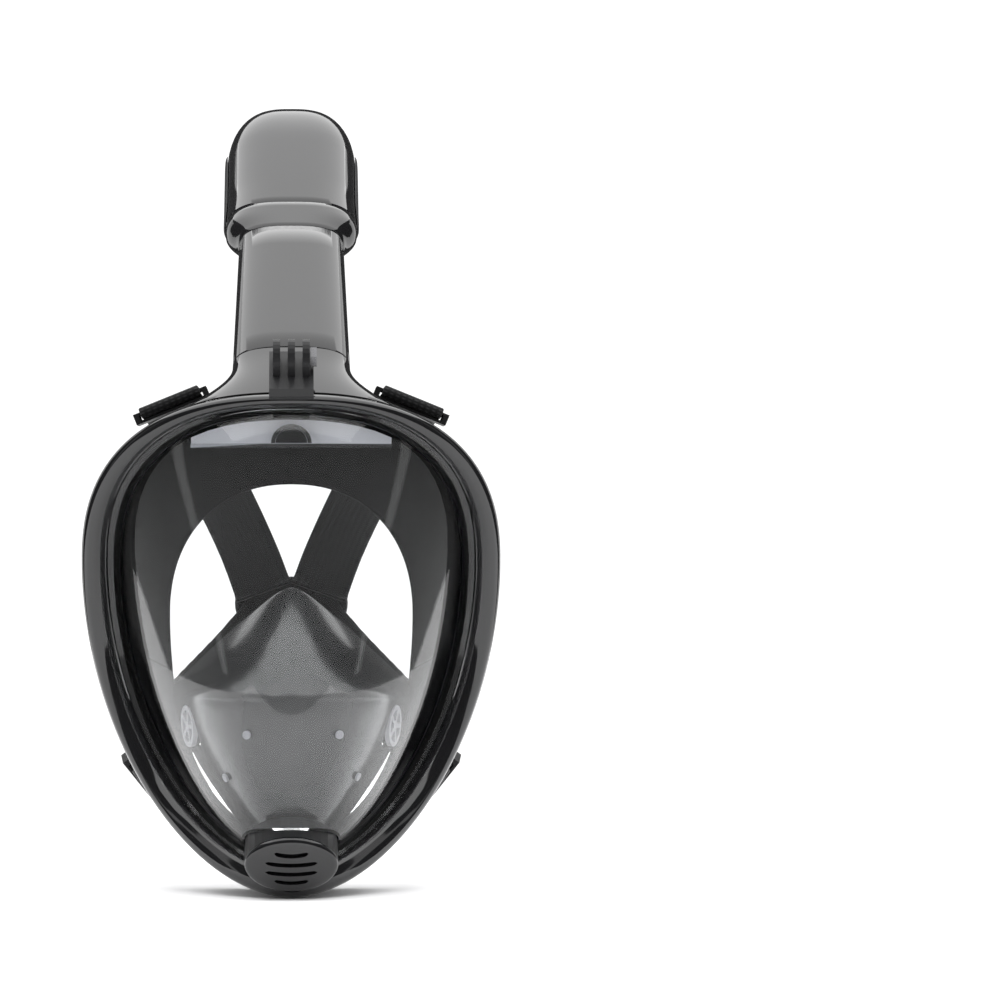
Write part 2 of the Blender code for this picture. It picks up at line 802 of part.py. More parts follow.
def inhale_valve(side, name, body, rubber):
    """Five-spoke seat on the cheek of the pocket with its thin round flap behind it."""
    centre = Vector((side * VALVE_CENTRE.x, VALVE_CENTRE.y, VALVE_CENTRE.z))
    normal = Vector((side * VALVE_NORMAL.x, VALVE_NORMAL.y, VALVE_NORMAL.z))
    seat = round_bar(f"inhale_valve_seat_{name}", body, centre, normal, VALVE_RADIUS, 0.0, 2.0, 30)
    across, up = frame_of(normal)
    for k in range(5):
        window = []
        for level in (-3.0, 5.0):
            ring = []
            for radius, turn in ((2.4, -18.0), (6.9, -27.0), (6.9, 0.0), (6.9, 27.0), (2.4, 18.0)):
                a = math.radians(turn + 72.0 * k)
                ring.append(
                    centre + normal * level + across * (radius * math.cos(a)) + up * (radius * math.sin(a))
                )
            window.append(ring)
        tool = loft(f"valve_window_{name}_{k}", window, None)
        hide(tool)
        cut(seat, tool)
    flap_centre = centre + normal * -0.8
    flap = round_bar(
        f"inhale_flap_{name}", rubber, centre, normal, VALVE_RADIUS - 1.0, -1.1, -0.4, 30,
        origin=flap_centre,
    )
    return seat, flap


def pocket_ports():
    """Round ports through the pocket walls under the two inhale valves."""
    tools = []
    for side, name in ((-1.0, "left"), (1.0, "right")):
        centre = Vector((side * VALVE_CENTRE.x, VALVE_CENTRE.y, VALVE_CENTRE.z))
        normal = Vector((side * VALVE_NORMAL.x, VALVE_NORMAL.y, VALVE_NORMAL.z))
        tool = round_bar(f"port_{name}", None, centre, normal, VALVE_RADIUS + 0.5, -9.0, 12.0, 24)
        hide(tool)
        tools.append(tool)
    return tools


def band(name, slot, path, widths, thick, width=STRAP_WIDTH):
    """A flat strap along a path of points; widths gives its across direction at each point."""
    rings = []
    for k, point in enumerate(path):
        before = path[max(0, k - 1)]
        after = path[min(len(path) - 1, k + 1)]
        along = (after - before).normalized()
        across = widths[k] - along * widths[k].dot(along)
        across.normalize()
        face = along.cross(across).normalized()
        rings.append(
            [
                point + across * (i * width / 2.0) + face * (j * thick / 2.0)
                for i, j in ((-1, -1), (1, -1), (1, 1), (-1, 1))
            ]
        )
    return loft(name, rings, slot, sharp=30.0)


def bezier(points, count):
    """Points along the smooth curve set by its control points."""
    found = []
    for k in range(count + 1):
        share = k / count
        level = [p.copy() for p in points]
        while len(level) > 1:
            level = [a.lerp(b, share) for a, b in zip(level, level[1:])]
        found.append(level[0])
    return found


def bracket_frame(side):
    """Seat of an upper strap bracket: a point on the roof and its two directions."""
    x = BRACKET_X
    tangent = Vector((side, 0.0, (roof(x + 1.0) - roof(x - 1.0)) / 2.0)).normalized()
    rise = Vector((-tangent.z * side, 0.0, abs(tangent.x))).normalized()
    return Vector((side * x, 0.0, roof(x))) + rise * 1.1, tangent, rise


def upper_strap(side, name, slot):
    base, tangent, rise = bracket_frame(side)
    lift = base + rise * 2.3
    path = [lift + Vector((0.0, y, 0.0)) for y in (-27.0, -12.0)]
    path += bezier(
        [
            lift + Vector((0.0, 3.5, 0.0)), lift + Vector((0.0, 22.0, 0.0)),
            Vector((side * 40.0, 50.0, 66.0)), Vector((side * 23.0, 74.0, 36.0)),
            Vector((side * 13.7, 81.0, 8.0)),
        ],
        9,
    )
    end = Vector((side * 0.94, 0.05, 0.34))
    widths = [tangent.copy() for k in range(3)]
    widths += [tangent.lerp(end, k / 9.0) for k in range(1, 10)]
    return band(f"strap_upper_{name}", slot, path, widths, STRAP_THICK)


def lower_strap(side, name, slot):
    middle, across, out = clip_frame(side)
    end = middle + out * 1.0 + Vector((0.0, 47.4, 0.0))
    path = bezier(
        [
            Vector((side * 16.5, 82.5, -15.1)), Vector((side * 34.0, 95.0, -36.0)),
            Vector((side * 58.0, 99.0, -56.0)), Vector((side * 70.0, 86.0, -74.0)),
            end + Vector((side * 1.0, 20.0, 1.0)), end,
        ],
        14,
    )
    start = Vector((side * 0.743, 0.1, 0.669))
    widths = [start.lerp(across, min(1.0, k / 12.0)) for k in range(15)]
    band(f"strap_lower_{name}", slot, path, widths, STRAP_THICK)
    return path, widths


def back_pad(slot):
    """Cross-shaped pad where the four straps are sewn together."""
    arms = []
    for x, z, turn in (
        (13.3, 7.0, 70.0), (15.5, -14.0, -48.0), (-15.5, -14.0, -132.0), (-13.3, 7.0, 110.0),
    ):
        a = math.radians(turn)
        beside = Vector((-math.sin(a), math.cos(a))) * STRAP_WIDTH / 2.0
        arms.append((Vector((x, z)) - beside, Vector((x, z)) + beside))
    outline_points = []
    for first, second in arms:
        outline_points += [second, first]
    rings = []
    for y in (83.0, 87.5):
        rings.append([Vector((p.x, y, p.y + PAD_Z)) for p in outline_points])
    made = loft("back_pad", rings, slot)
    bevel(made, 1.2, 2)
    return made


def bracket(side, name, slot):
    """Sleeve at the upper corner of the frame that the strap threads through."""
    base, tangent, rise = bracket_frame(side)
    made = slab(f"strap_bracket_{name}", slot, base, tangent, rise, (-16.6, 16.6), (-35.5, 2.0), (0, 4.6))
    channel = slab(
        f"bracket_slot_{name}", None, base, tangent, rise, (-14.3, 14.3), (-60.0, 20.0), (1.1, 3.5)
    )
    hide(channel)
    cut(made, channel)
    return made


def slab(name, slot, base, across, up, x_range, y_range, z_range, bevel_width=0.0):
    """Block around base: x_range along across, y_range along +Y, z_range along up."""
    rings = []
    for y in y_range:
        rings.append(
            [
                base + across * i + up * j + Vector((0.0, y, 0.0))
                for i, j in (
                    (x_range[0], z_range[0]), (x_range[1], z_range[0]),
                    (x_range[1], z_range[1]), (x_range[0], z_range[1]),
                )
            ]
        )
    made = loft(name, rings, slot)
    if bevel_width:
        bevel(made, bevel_width)
    return made


def clip_frame(side):
    """Middle of a lower strap tab and the direction of its width."""
    x = half_width_at(CLIP_Z, 0.0)
    run = half_width_at(CLIP_Z + 15.0, 0.0) - half_width_at(CLIP_Z - 15.0, 0.0)
    across = Vector((side * run, 0.0, 30.0)).normalized()
    out = Vector((side * across.z, 0.0, -abs(across.x)))
    return Vector((side * x, 0.0, CLIP_Z)) - out * 1.1, across, out


def clip(side, name, slot):
    """Slotted tab behind the lower corner of the frame that holds the lower strap."""
    middle, across, out = clip_frame(side)
    path = [middle + Vector((0.0, 20.6, 0.0)), middle + Vector((0.0, 43.0, 0.0)) + out * 0.8]
    made = band(f"strap_clip_{name}", slot, path, [across] * 2, 2.4, 34.0)
    hole = [path[0].lerp(path[1], 0.5), path[0].lerp(path[1], 0.82)]
    tool = band(f"clip_slot_{name}", None, hole, [across] * 2, 12.0, 28.4)
    hide(tool)
    cut(made, tool)
    return made


def slider(side, name, slot, path, widths, index):
    """Ladder buckle round the lower strap."""
    here, after = path[index], path[index + 1]
    across = (widths[index] + widths[index + 1]).normalized()
    run = (after - here).normalized()
    middle = (here + after) / 2.0
    ends = [middle - run * 5.0, middle + run * 5.0]
    made = band(f"strap_slider_{name}", slot, ends, [across] * 2, 7.2, 33.4)
    beyond = [middle - run * 12.0, middle + run * 12.0]
    tool = band(f"slider_slot_{name}", None, beyond, [across] * 2, 4.8, 28.4)
    hide(tool)
    cut(made, tool)
    return made


def float_parts(foam, rubber):
    """Float and its sealing pad; they slide along the snorkel axis."""
    origin = snorkel_point(0.0, 150.0, -21.0)
    body = box_along("float_body", foam, (-15.5, 15.5), (140.0, 161.0), (-26.8, -15.6), origin, 1.5)
    seal = box_along("float_seal", rubber, (-14.0, 14.0), (161.4, 163.0), (-26.0, -16.6), origin, 0.5)
    return body, seal


def valve_seat(slot):
    """Plate across the float chamber whose opening the float closes under water."""
    made = box_along("valve_seat", slot, (-16.8, 16.8), (171.5, 174.0), (-26.0, -11.2))
    hole = box_along("seat_hole", None, (-11.5, 11.5), (160.0, 190.0), (-23.4, -18.6))
    hide(hole)
    cut(made, hole)
    return made


def pocket_face(x, z):
    """Forward distance of the pocket wall at x and z, below the crease."""
    rear = pocket_rear(z)
    share = min(1.0, abs(x) / pocket_width(z))
    turn = math.asin(share ** (POCKET_SIDE / 2.0))
    return rear + (pocket_front(z) - rear) * math.cos(turn) ** (2.0 / POCKET_NOSE)


def rivets(slot):
    """Studs on the lower faces of the pocket; one object each."""
    for number, (x, z) in enumerate(((-17.6, -52.0), (-25.7, -70.3), (18.9, -52.0), (26.0, -70.0))):
        forward = pocket_face(x, z)
        slope = pocket_face(abs(x) + 0.5, z) - pocket_face(abs(x) - 0.5, z)
        rise = pocket_face(x, z + 0.5) - pocket_face(x, z - 0.5)
        normal = Vector((math.copysign(-slope, x), -1.0, -rise)).normalized()
        centre = Vector((x, -forward, z)) + normal * (POCKET_THICK / 2.0 + GAP + 0.1)
        round_bar(f"pocket_rivet_{number + 1}", slot, centre, normal, 1.8, 0.0, 0.9, 16)


def build():
    gloss = material("gloss_black", (0.012, 0.012, 0.013), 0.08)
    matte = material("matte_black", (0.03, 0.03, 0.032), 0.5)
    silicone = material("silicone_black", (0.02, 0.02, 0.021), 0.42)
    pocket = material("silicone_satin", (0.06, 0.06, 0.062), 0.3)
    clear = material("clear_lens", (0.9, 0.93, 0.95), 0.03, 0.0, 0.25)
    smoke = material("smoke_clear", (0.55, 0.57, 0.6), 0.1, 0.0, 0.5)
    fabric = material("webbing_black", (0.016, 0.016, 0.017), 0.85)
    steel = material("nut_steel", (0.55, 0.55, 0.56), 0.3, 1.0)
    foam = material("float_foam", (0.55, 0.24, 0.05), 0.7)
    grey = material("vent_grey", (0.35, 0.36, 0.37), 0.4)

    lens_tool = oval_solid(
        "lens_cut", None, CHIN_CENTRE, CHIN_NORMAL, CHIN_UP,
        [(CHIN_HALF_WIDTH + 0.5, -22.0), (CHIN_HALF_WIDTH + 0.5, 30.0)],
        ratio=(CHIN_HALF_HEIGHT + 0.5) / (CHIN_HALF_WIDTH + 0.5),
    )
    hide(lens_tool)
    ring_tool = oval_solid(
        "ring_cut", None, CHIN_CENTRE, CHIN_NORMAL, CHIN_UP,
        [(CHIN_HALF_WIDTH + 0.5, -14.0), (CHIN_HALF_WIDTH + 0.5, 30.0)],
        ratio=(CHIN_HALF_HEIGHT + 0.5) / (CHIN_HALF_WIDTH + 0.5),
    )
    hide(ring_tool)

    visor_lens(clear, lens_tool)
    cut(bezel_ring(gloss), ring_tool)
    frame = rear_frame(matte)
    port = slab("duct_port", None, Vector((0, 0, 87)), Vector((1, 0, 0)), Vector((0, 0, 1)),
                (-18.0, 18.0), (-52.0, -41.5), (-4.5, 8.0))
    hide(port)
    cut(frame, port)
    face_skirt(silicone)
    shell = nose_pocket(pocket)
    for tool in pocket_ports():
        cut(shell, tool)
    forehead_panel(smoke)
    duct_nozzle(matte)
    snorkel_socket(gloss)
    camera_mount(matte)
    camera_nut(steel)
    chin_seat(matte)
    chin_flap(silicone)
    chin_cover(gloss)
    for side, name in ((-1.0, "left"), (1.0, "right")):
        inhale_valve(side, name, grey, silicone)
        bracket(side, name, matte)
        clip(side, name, matte)
        upper_strap(side, name, fabric)
        path, widths = lower_strap(side, name, fabric)
        slider(side, name, matte, path, widths, 11)
    back_pad(fabric)
    rivets(grey)

    tube_half("snorkel_tube_front", gloss, 1.0, 0.3, TUBE_LENGTH, TUBE_HALF_WIDTH, TUBE_HALF_THICK)
    tube_half("snorkel_tube_rear", matte, -1.0, 0.3, TUBE_LENGTH, TUBE_HALF_WIDTH, TUBE_HALF_THICK)
    box_along("snorkel_divider", matte, (-20.0, 20.0), (2.0, 97.0), (-0.75, 0.75))
    snorkel_spigot(matte)
    sleeve("spigot_o_ring", silicone, -4.2, -2.8, 20.3, 6.9, 1.0)
    start, end = GRILLE_SPAN
    grille_hole = wedge_along(
        "grille_hole", None, (-18.5, 18.5),
        ((start - 0.5, -60.0, under_neck(start) + 4.5), (end + 0.5, -60.0, under_neck(end) + 4.5)),
    )
    hide(grille_hole)
    head_shell("head_neck", gloss, (99.5, 102.0, 105.0, 108.5, 113.0, HEAD_SEAM - GAP), False, grille_hole)
    head_shell(
        "head_cap", gloss, (HEAD_SEAM, 128.0, 136.0, 144.0, 160.0, 180.0, 192.0, 201.0, 208.0, 211.5, HEAD_END),
        True, grille_hole,
    )
    head_panel("head_panel_left", matte, -1.0)
    head_panel("head_panel_right", matte, 1.0)
    intake_grille(grey)
    box_along("float_chamber_wall", matte, (-24.0, 24.0), (136.0, 174.0), (-10.6, -9.2))
    valve_seat(grey)
    float_parts(foam, silicone)


clear_scene()
PARTS = bpy.data.collections.new("full_face_snorkel")
CUTTERS = bpy.data.collections.new("cutters")
bpy.context.scene.collection.children.link(PARTS)
bpy.context.scene.collection.children.link(CUTTERS)
build()
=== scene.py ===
import math

import bmesh
import bpy
from mathutils import Matrix, Vector


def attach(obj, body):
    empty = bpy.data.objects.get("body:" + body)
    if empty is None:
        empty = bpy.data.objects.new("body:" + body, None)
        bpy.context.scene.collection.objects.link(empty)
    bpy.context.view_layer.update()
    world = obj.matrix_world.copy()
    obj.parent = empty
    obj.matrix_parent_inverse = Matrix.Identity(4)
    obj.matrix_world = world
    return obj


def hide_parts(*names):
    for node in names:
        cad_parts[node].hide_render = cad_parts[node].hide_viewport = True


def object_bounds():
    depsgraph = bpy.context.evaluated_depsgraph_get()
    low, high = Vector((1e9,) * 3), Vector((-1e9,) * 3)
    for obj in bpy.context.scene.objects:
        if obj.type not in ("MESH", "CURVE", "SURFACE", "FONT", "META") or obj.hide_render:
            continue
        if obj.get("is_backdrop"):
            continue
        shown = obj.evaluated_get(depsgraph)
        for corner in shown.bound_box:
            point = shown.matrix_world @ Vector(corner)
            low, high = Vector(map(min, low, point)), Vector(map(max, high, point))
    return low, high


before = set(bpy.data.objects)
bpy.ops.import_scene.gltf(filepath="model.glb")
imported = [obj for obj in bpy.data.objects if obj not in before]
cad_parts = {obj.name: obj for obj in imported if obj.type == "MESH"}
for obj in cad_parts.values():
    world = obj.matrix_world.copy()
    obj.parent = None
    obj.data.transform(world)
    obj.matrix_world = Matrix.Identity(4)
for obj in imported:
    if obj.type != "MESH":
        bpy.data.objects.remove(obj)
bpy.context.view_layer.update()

MM = 0.001
GAP = 0.3

# Shape numbers, most of them shared with the solids, in millimetres
HALF_WIDTH, OUTLINE_Z, UPPER_RISE, UPPER_POWER = 89.4, 17.0, 73.0, 2.45
LOWER_DROP, LOWER_POWER, CROWN_SHARE = 138.0, 1.9, 0.5
RING_LOW_Z, RING_TOP_RISE, RING_CHIN_RISE, RING_CHIN_POWER = -37.0, 62.0, 58.0, 2.8
REAR_LOW_Z, REAR_BACK, REAR_TOP_RISE, REAR_TOP_POWER, REAR_CHIN_RISE = -60.0, -30.0, 60.0, 2.6, 25.0
LENS_THICK, LENS_INSET, LENS_FLANGE, LENS_LEVEL = 1.8, 14.0, 7.2, -1.9
LENS_FRONT, LENS_FRONT_Z, LENS_TOP_FALL, LENS_CHIN_FALL, LENS_SWEEP = 82.0, 5.0, 19.4, 17.0, 2.2
FRAME_REAR, FRAME_TAB_SHARE, FRAME_CHIN_SHARE = 0.62, 0.14, 0.17
SKIRT_LEVEL, SKIRT_THICK = -4.9, 1.8
OPENING_HALF, OPENING_Z, OPENING_UP, OPENING_DOWN, OPENING_POWER = 52.0, -5.0, 57.0, 95.0, 2.2
LIP_FORWARD, SHELF_TOP = 8.0, 69.2
POCKET_THICK, POCKET_TOP_Z, CREASE_Z, POCKET_BOTTOM_Z = 2.0, 10.0, -38.0, -97.0
POCKET_SIDE, POCKET_NOSE = 3.0, 1.7
SEAM = Vector((0.0, -22.0, 100.0))
AXIS = Vector((0.0, 0.83, 0.56)).normalized()
FACE = Vector((0.0, -0.56, 0.83)).normalized()
TUBE_HALF_WIDTH, TUBE_HALF_THICK, TUBE_LENGTH, TUBE_WALL = 25.0, 13.0, 99.0, 2.0
NECK_START, NECK_SLOPE, HEAD_END = 99.0, 45.0, 213.0
HEAD_HALF_WIDTH, HEAD_DROP, HEAD_WALL, HEAD_TAPER = 29.0, 32.0, 2.0, 0.2
CHIN_NORMAL = Vector((0.0, -0.85, -0.53)).normalized()
CHIN_UP = Vector((0.0, -0.53, 0.85)).normalized()
CHIN_CENTRE = Vector((0.0, -68.0, -106.0))
CHIN_HALF_WIDTH, CHIN_HALF_HEIGHT = 19.5, 13.5
STRAP_WIDTH, STRAP_THICK, BRACKET_X, CLIP_Z, PAD_Z = 27.0, 1.8, 49.5, -82.0, 0.0
SIDES = ((-1.0, "left"), (1.0, "right"))
FOLD_THICK, FOLD_GAP, PAD_HALF, PAD_Y = 1.5, 3.2, 2.35, 85.25
CREASE_HALF, LOBE_HEIGHT, BAND_HEIGHT = 50.0, 3.6, 2.0
POCKET_NARROWING, POCKET_REACH, POCKET_CHIN_FALL = 32.0, 70.0, 15.0
PORT_RADIUS, PORT_LOW, PORT_HIGH, PORT_CENTRE = 9.3, -9.0, 12.0, Vector((41.6, -28.0, -50.0))
LENS_HUB_Z, TUBE_POWER, TUBE_NARROWING = -10.0, 2.8, 2.0
NECK_HALF_WIDTH, TIP_START, SOCKET_WALL, SOCKET_FLARE, SOCKET_FORWARD = 23.0, 178.0, 2.6, 18.0, 46.4
PANEL_LOW, PANEL_HIGH, PANEL_LEVEL, PANEL_REACH = 126.0, 186.0, -9.0, 8.5
HATCH_LOW, HATCH_HIGH, HATCH_HALF = 107.5, 138.5, 18.5
DUCT_RADIUS, DUCT_FRONT, DUCT_THICK, DUCT_FLOOR = 6.7, 45.4, 1.0, 69.5
BRACKET_STEP, STRAP_LIFT, FOLD_FRONT, CLIP_SPAN = 1.1, 2.3, -35.6, 15.0
BEZEL_CUT_LOW, LENS_CUT_LOW, CUT_HIGH = -14.0, -22.0, 30.0
CUT_CLEARANCE, SLIT_COUNT, SLIT_PITCH, SLIT_LOWEST = 0.5, 4, 4.6, -6.9

# Studio: places in metres, the camera's turn in degrees and its lens in millimetres
FLOOR_HALF, FLOOR_BACK, FLOOR_DROP = 0.45, 0.75, 0.0005
WORLD_WHITE, WORLD_DARK = 1.15, 0.06
TOP_GLOW, STRIP_GLOW, REAR_GLOW, AIM = 2.5, 1.0, 1.5, (0.0, 0.0, 0.05)
CAMERA_PLACE, CAMERA_TURN, CAMERA_LENS = (0.0, -2.4, 0.0456), -2.14, 201.0


def smooth(share):
    share = min(1.0, max(0.0, share))
    return share * share * (3.0 - 2.0 * share)


def signed_power(value, power):
    return math.copysign(abs(value) ** power, value)


def outline(angle, inset=0.0):
    lower = math.sin(angle) < 0.0
    height = (LOWER_DROP - inset) if lower else (UPPER_RISE - CROWN_SHARE * inset)
    power = LOWER_POWER if lower else UPPER_POWER
    x = (HALF_WIDTH - inset) * signed_power(math.cos(angle), 2.0 / power)
    z = OUTLINE_Z + height * signed_power(math.sin(angle), 2.0 / power)
    return x, z


def half_width_at(z, inset):
    lower = z < OUTLINE_Z
    height = (LOWER_DROP - inset) if lower else (UPPER_RISE - CROWN_SHARE * inset)
    power = LOWER_POWER if lower else UPPER_POWER
    share = min(1.0, abs(z - OUTLINE_Z) / height)
    return (HALF_WIDTH - inset) * (1.0 - share**power) ** (1.0 / power)


def roof(x):
    share = min(1.0, abs(x) / HALF_WIDTH)
    return OUTLINE_Z + UPPER_RISE * (1.0 - share**UPPER_POWER) ** (1.0 / UPPER_POWER)


def ring_forward(z):
    if z > RING_LOW_Z:
        return RING_TOP_RISE * ((z - RING_LOW_Z) / (OUTLINE_Z + UPPER_RISE - RING_LOW_Z)) ** 2
    share = (RING_LOW_Z - z) / (RING_LOW_Z - OUTLINE_Z + LOWER_DROP)
    return RING_CHIN_RISE * share**RING_CHIN_POWER


def rear_forward(z):
    if z > REAR_LOW_Z:
        share = (z - REAR_LOW_Z) / (OUTLINE_Z + UPPER_RISE - REAR_LOW_Z)
        return REAR_BACK + REAR_TOP_RISE * share**REAR_TOP_POWER
    share = (REAR_LOW_Z - z) / (REAR_LOW_Z - OUTLINE_Z + LOWER_DROP)
    return REAR_BACK + REAR_CHIN_RISE * share**2


def wall(angle, inset, level=0.0, depth=0.0):
    x, z = outline(angle, inset)
    reach = outline(angle)[1]
    forward = ring_forward(reach) * (1.0 - depth) + rear_forward(reach) * depth + level
    return Vector((x, -forward, z))


def angles(count):
    return [math.tau * k / count - math.pi / 2.0 for k in range(count)]


def lens_forward(x, z):
    crown = UPPER_RISE - CROWN_SHARE * LENS_INSET
    chin = LOWER_DROP - LENS_INSET
    if z > LENS_FRONT_Z:
        share = min(1.0, (z - LENS_FRONT_Z) / (OUTLINE_Z + crown - LENS_FRONT_Z))
        middle = LENS_FRONT - LENS_TOP_FALL * share**1.85
    else:
        share = min(1.0, (LENS_FRONT_Z - z) / (LENS_FRONT_Z - OUTLINE_Z + chin))
        middle = LENS_FRONT - LENS_CHIN_FALL * share**3
    scale = LOWER_DROP / chin if z < OUTLINE_Z else UPPER_RISE / crown
    edge = ring_forward(OUTLINE_Z + (z - OUTLINE_Z) * scale) + LENS_LEVEL
    width = half_width_at(z, LENS_INSET)
    share = min(1.0, abs(x) / width) if width > 0.5 else 1.0
    middle = max(middle, edge)
    return middle - (middle - edge) * share**LENS_SWEEP


def frame_depth(z):
    tab = FRAME_TAB_SHARE * smooth((-50.0 - z) / 30.0)
    return FRAME_REAR + tab + FRAME_CHIN_SHARE * smooth((-88.0 - z) / 20.0)


def opening_point(angle):
    lower = math.sin(angle) < 0.0
    height = OPENING_DOWN if lower else OPENING_UP
    x = OPENING_HALF * signed_power(math.cos(angle), 2.0 / OPENING_POWER)
    z = OPENING_Z + height * signed_power(math.sin(angle), 2.0 / OPENING_POWER)
    reach = outline(angle)[1]
    return Vector((x, -(rear_forward(reach) + LIP_FORWARD), z))


def pocket_share(z):
    return (CREASE_Z - z) / (CREASE_Z - POCKET_BOTTOM_Z)


def pocket_width(z):
    return CREASE_HALF - POCKET_NARROWING * pocket_share(z) ** 1.5


def pocket_rear(z):
    return rear_forward(z) + LIP_FORWARD + 6.0 + 12.0 * max(0.0, pocket_share(z)) ** 2


def pocket_front(z):
    return POCKET_REACH - POCKET_CHIN_FALL * max(0.0, pocket_share(z)) ** 1.8


def snorkel_point(across, along, out):
    return SEAM + Vector((across, 0.0, 0.0)) + AXIS * along + FACE * out


def rounded(half_x, half_n, count, power=3.0):
    points = []
    for k in range(count):
        a = math.tau * k / count
        x = half_x * signed_power(math.cos(a), 2.0 / power)
        points.append((x, half_n * signed_power(math.sin(a), 2.0 / power)))
    return points


def head_section(along, less=0.0, count=28):
    neck = smooth((along - NECK_START) / 14.0)
    drop = smooth((along - NECK_START) / NECK_SLOPE)
    tip = max(0.0, (along - TIP_START) / (HEAD_END - TIP_START))
    close = math.sqrt(max(0.0, 1.0 - tip * tip * 0.985))
    width = (NECK_HALF_WIDTH + (HEAD_HALF_WIDTH - NECK_HALF_WIDTH) * neck) * (0.45 + 0.55 * close) - less
    top = TUBE_HALF_THICK - 9.0 * (1.0 - close) - less
    bottom = -TUBE_HALF_THICK - (HEAD_DROP - TUBE_HALF_THICK) * drop * (0.25 + 0.75 * close) + less
    middle, half = (top + bottom) / 2.0, (top - bottom) / 2.0
    return [(x * head_taper(n / half), middle + n) for x, n in rounded(width, half, count, 2.9)]


def head_taper(height):
    return 1.0 - HEAD_TAPER * smooth(-height)


def head_side(along, n):
    points = [(x, level) for x, level in head_section(along, 0.0, 400) if x >= 0.0]
    return min(points, key=lambda p: abs(p[1] - n))[0]


def bezier(points, count):
    found = []
    for k in range(count + 1):
        share = k / count
        level = [p.copy() for p in points]
        while len(level) > 1:
            level = [a.lerp(b, share) for a, b in zip(level, level[1:])]
        found.append(level[0])
    return found


# ---------------------------------------------------------------- mesh helpers


def mesh_object(name, shape):
    """Puts a bmesh in millimetres into the scene as an object in metres."""
    bmesh.ops.recalc_face_normals(shape, faces=shape.faces[:])
    mesh = bpy.data.meshes.new(name)
    shape.to_mesh(mesh)
    shape.free()
    mesh.transform(Matrix.Scale(MM, 4))
    made = bpy.data.objects.new(name, mesh)
    bpy.context.scene.collection.objects.link(made)
    return made


def piece(name, shape, surface, body, nodes=(), angle=35.0):
    """A shown piece that rides on a body and stands for CAD nodes."""
    made = mesh_object(name, shape)
    made.data.materials.append(surface)
    made.data.shade_smooth()
    made.data.set_sharp_from_angle(angle=math.radians(angle))
    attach(made, body)
    if nodes:
        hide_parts(*nodes)
    return made


def loft_mesh(rings, closed=False):
    """Skins closed rings of points; an open loft gets end caps."""
    shape = bmesh.new()
    rows = [[shape.verts.new(p) for p in ring] for ring in rings]
    count = len(rows[0])
    pairs = list(zip(rows, rows[1:]))
    if closed:
        pairs.append((rows[-1], rows[0]))
    for first, second in pairs:
        for k in range(count):
            after = (k + 1) % count
            shape.faces.new((first[k], first[after], second[after], second[k]))
    if not closed:
        shape.faces.new(rows[0])
        shape.faces.new(rows[-1])
    return shape


def surface_mesh(rows, hoop=True, centre=None):
    """An open skin over rows of points, closed to a hub if centre is given."""
    shape = bmesh.new()
    grid = [[shape.verts.new(p) for p in row] for row in rows]
    for first, second in zip(grid, grid[1:]):
        span = len(first) if hoop else len(first) - 1
        for k in range(span):
            after = (k + 1) % len(first)
            shape.faces.new((first[k], first[after], second[after], second[k]))
    if centre is not None:
        hub = shape.verts.new(centre)
        last = grid[-1]
        for k in range(len(last)):
            shape.faces.new((last[k], last[(k + 1) % len(last)], hub))
    return shape


def thicken(made, thick):
    change = made.modifiers.new("thickness", "SOLIDIFY")
    change.thickness = thick * MM
    change.offset = 0.0
    change.use_even_offset = True


def bevel(made, width):
    change = made.modifiers.new("bevel", "BEVEL")
    change.width = width * MM
    change.segments = 2
    change.limit_method = "ANGLE"
    change.angle_limit = math.radians(35.0)


def softer(made):
    change = made.modifiers.new("softer", "SUBSURF")
    change.levels = 1
    change.render_levels = 1


def tool(name, shape):
    """A cutter: hidden, and not part of the object."""
    made = mesh_object(name, shape)
    made.hide_render = True
    made.hide_viewport = True
    return made


def cut_by(made, cutter):
    change = made.modifiers.new("cut", "BOOLEAN")
    change.operation = "DIFFERENCE"
    change.solver = "EXACT"
    change.object = cutter


def oval(centre, side, up, half_side, half_up, count, shift=Vector()):
    """Points of an oval around centre, in the plane of side and up, then shifted."""
    turns = [math.tau * k / count for k in range(count)]
    return [centre + side * (half_side * math.cos(a)) + up * (half_up * math.sin(a)) + shift for a in turns]


def steps(low, high, count):
    return [low + (high - low) * k / (count - 1.0) for k in range(count)]


def soft_profile(points, radius):
    """Rounds the corners of a closed 2-D profile."""
    out, parts = [], 3
    count = len(points)
    for k, here in enumerate(points):
        before, after = points[k - 1], points[(k + 1) % count]
        a, b, c = (Vector((*p, 0.0)) for p in (before, here, after))
        cut = min(radius, (a - b).length * 0.42, (c - b).length * 0.42)
        start = b + (a - b).normalized() * cut
        end = b + (c - b).normalized() * cut
        for i in range(parts + 1):
            t = i / parts
            p = start.lerp(b, t).lerp(b.lerp(end, t), t)
            out.append((p.x, p.y))
    return out


# ------------------------------------------------------------------- materials


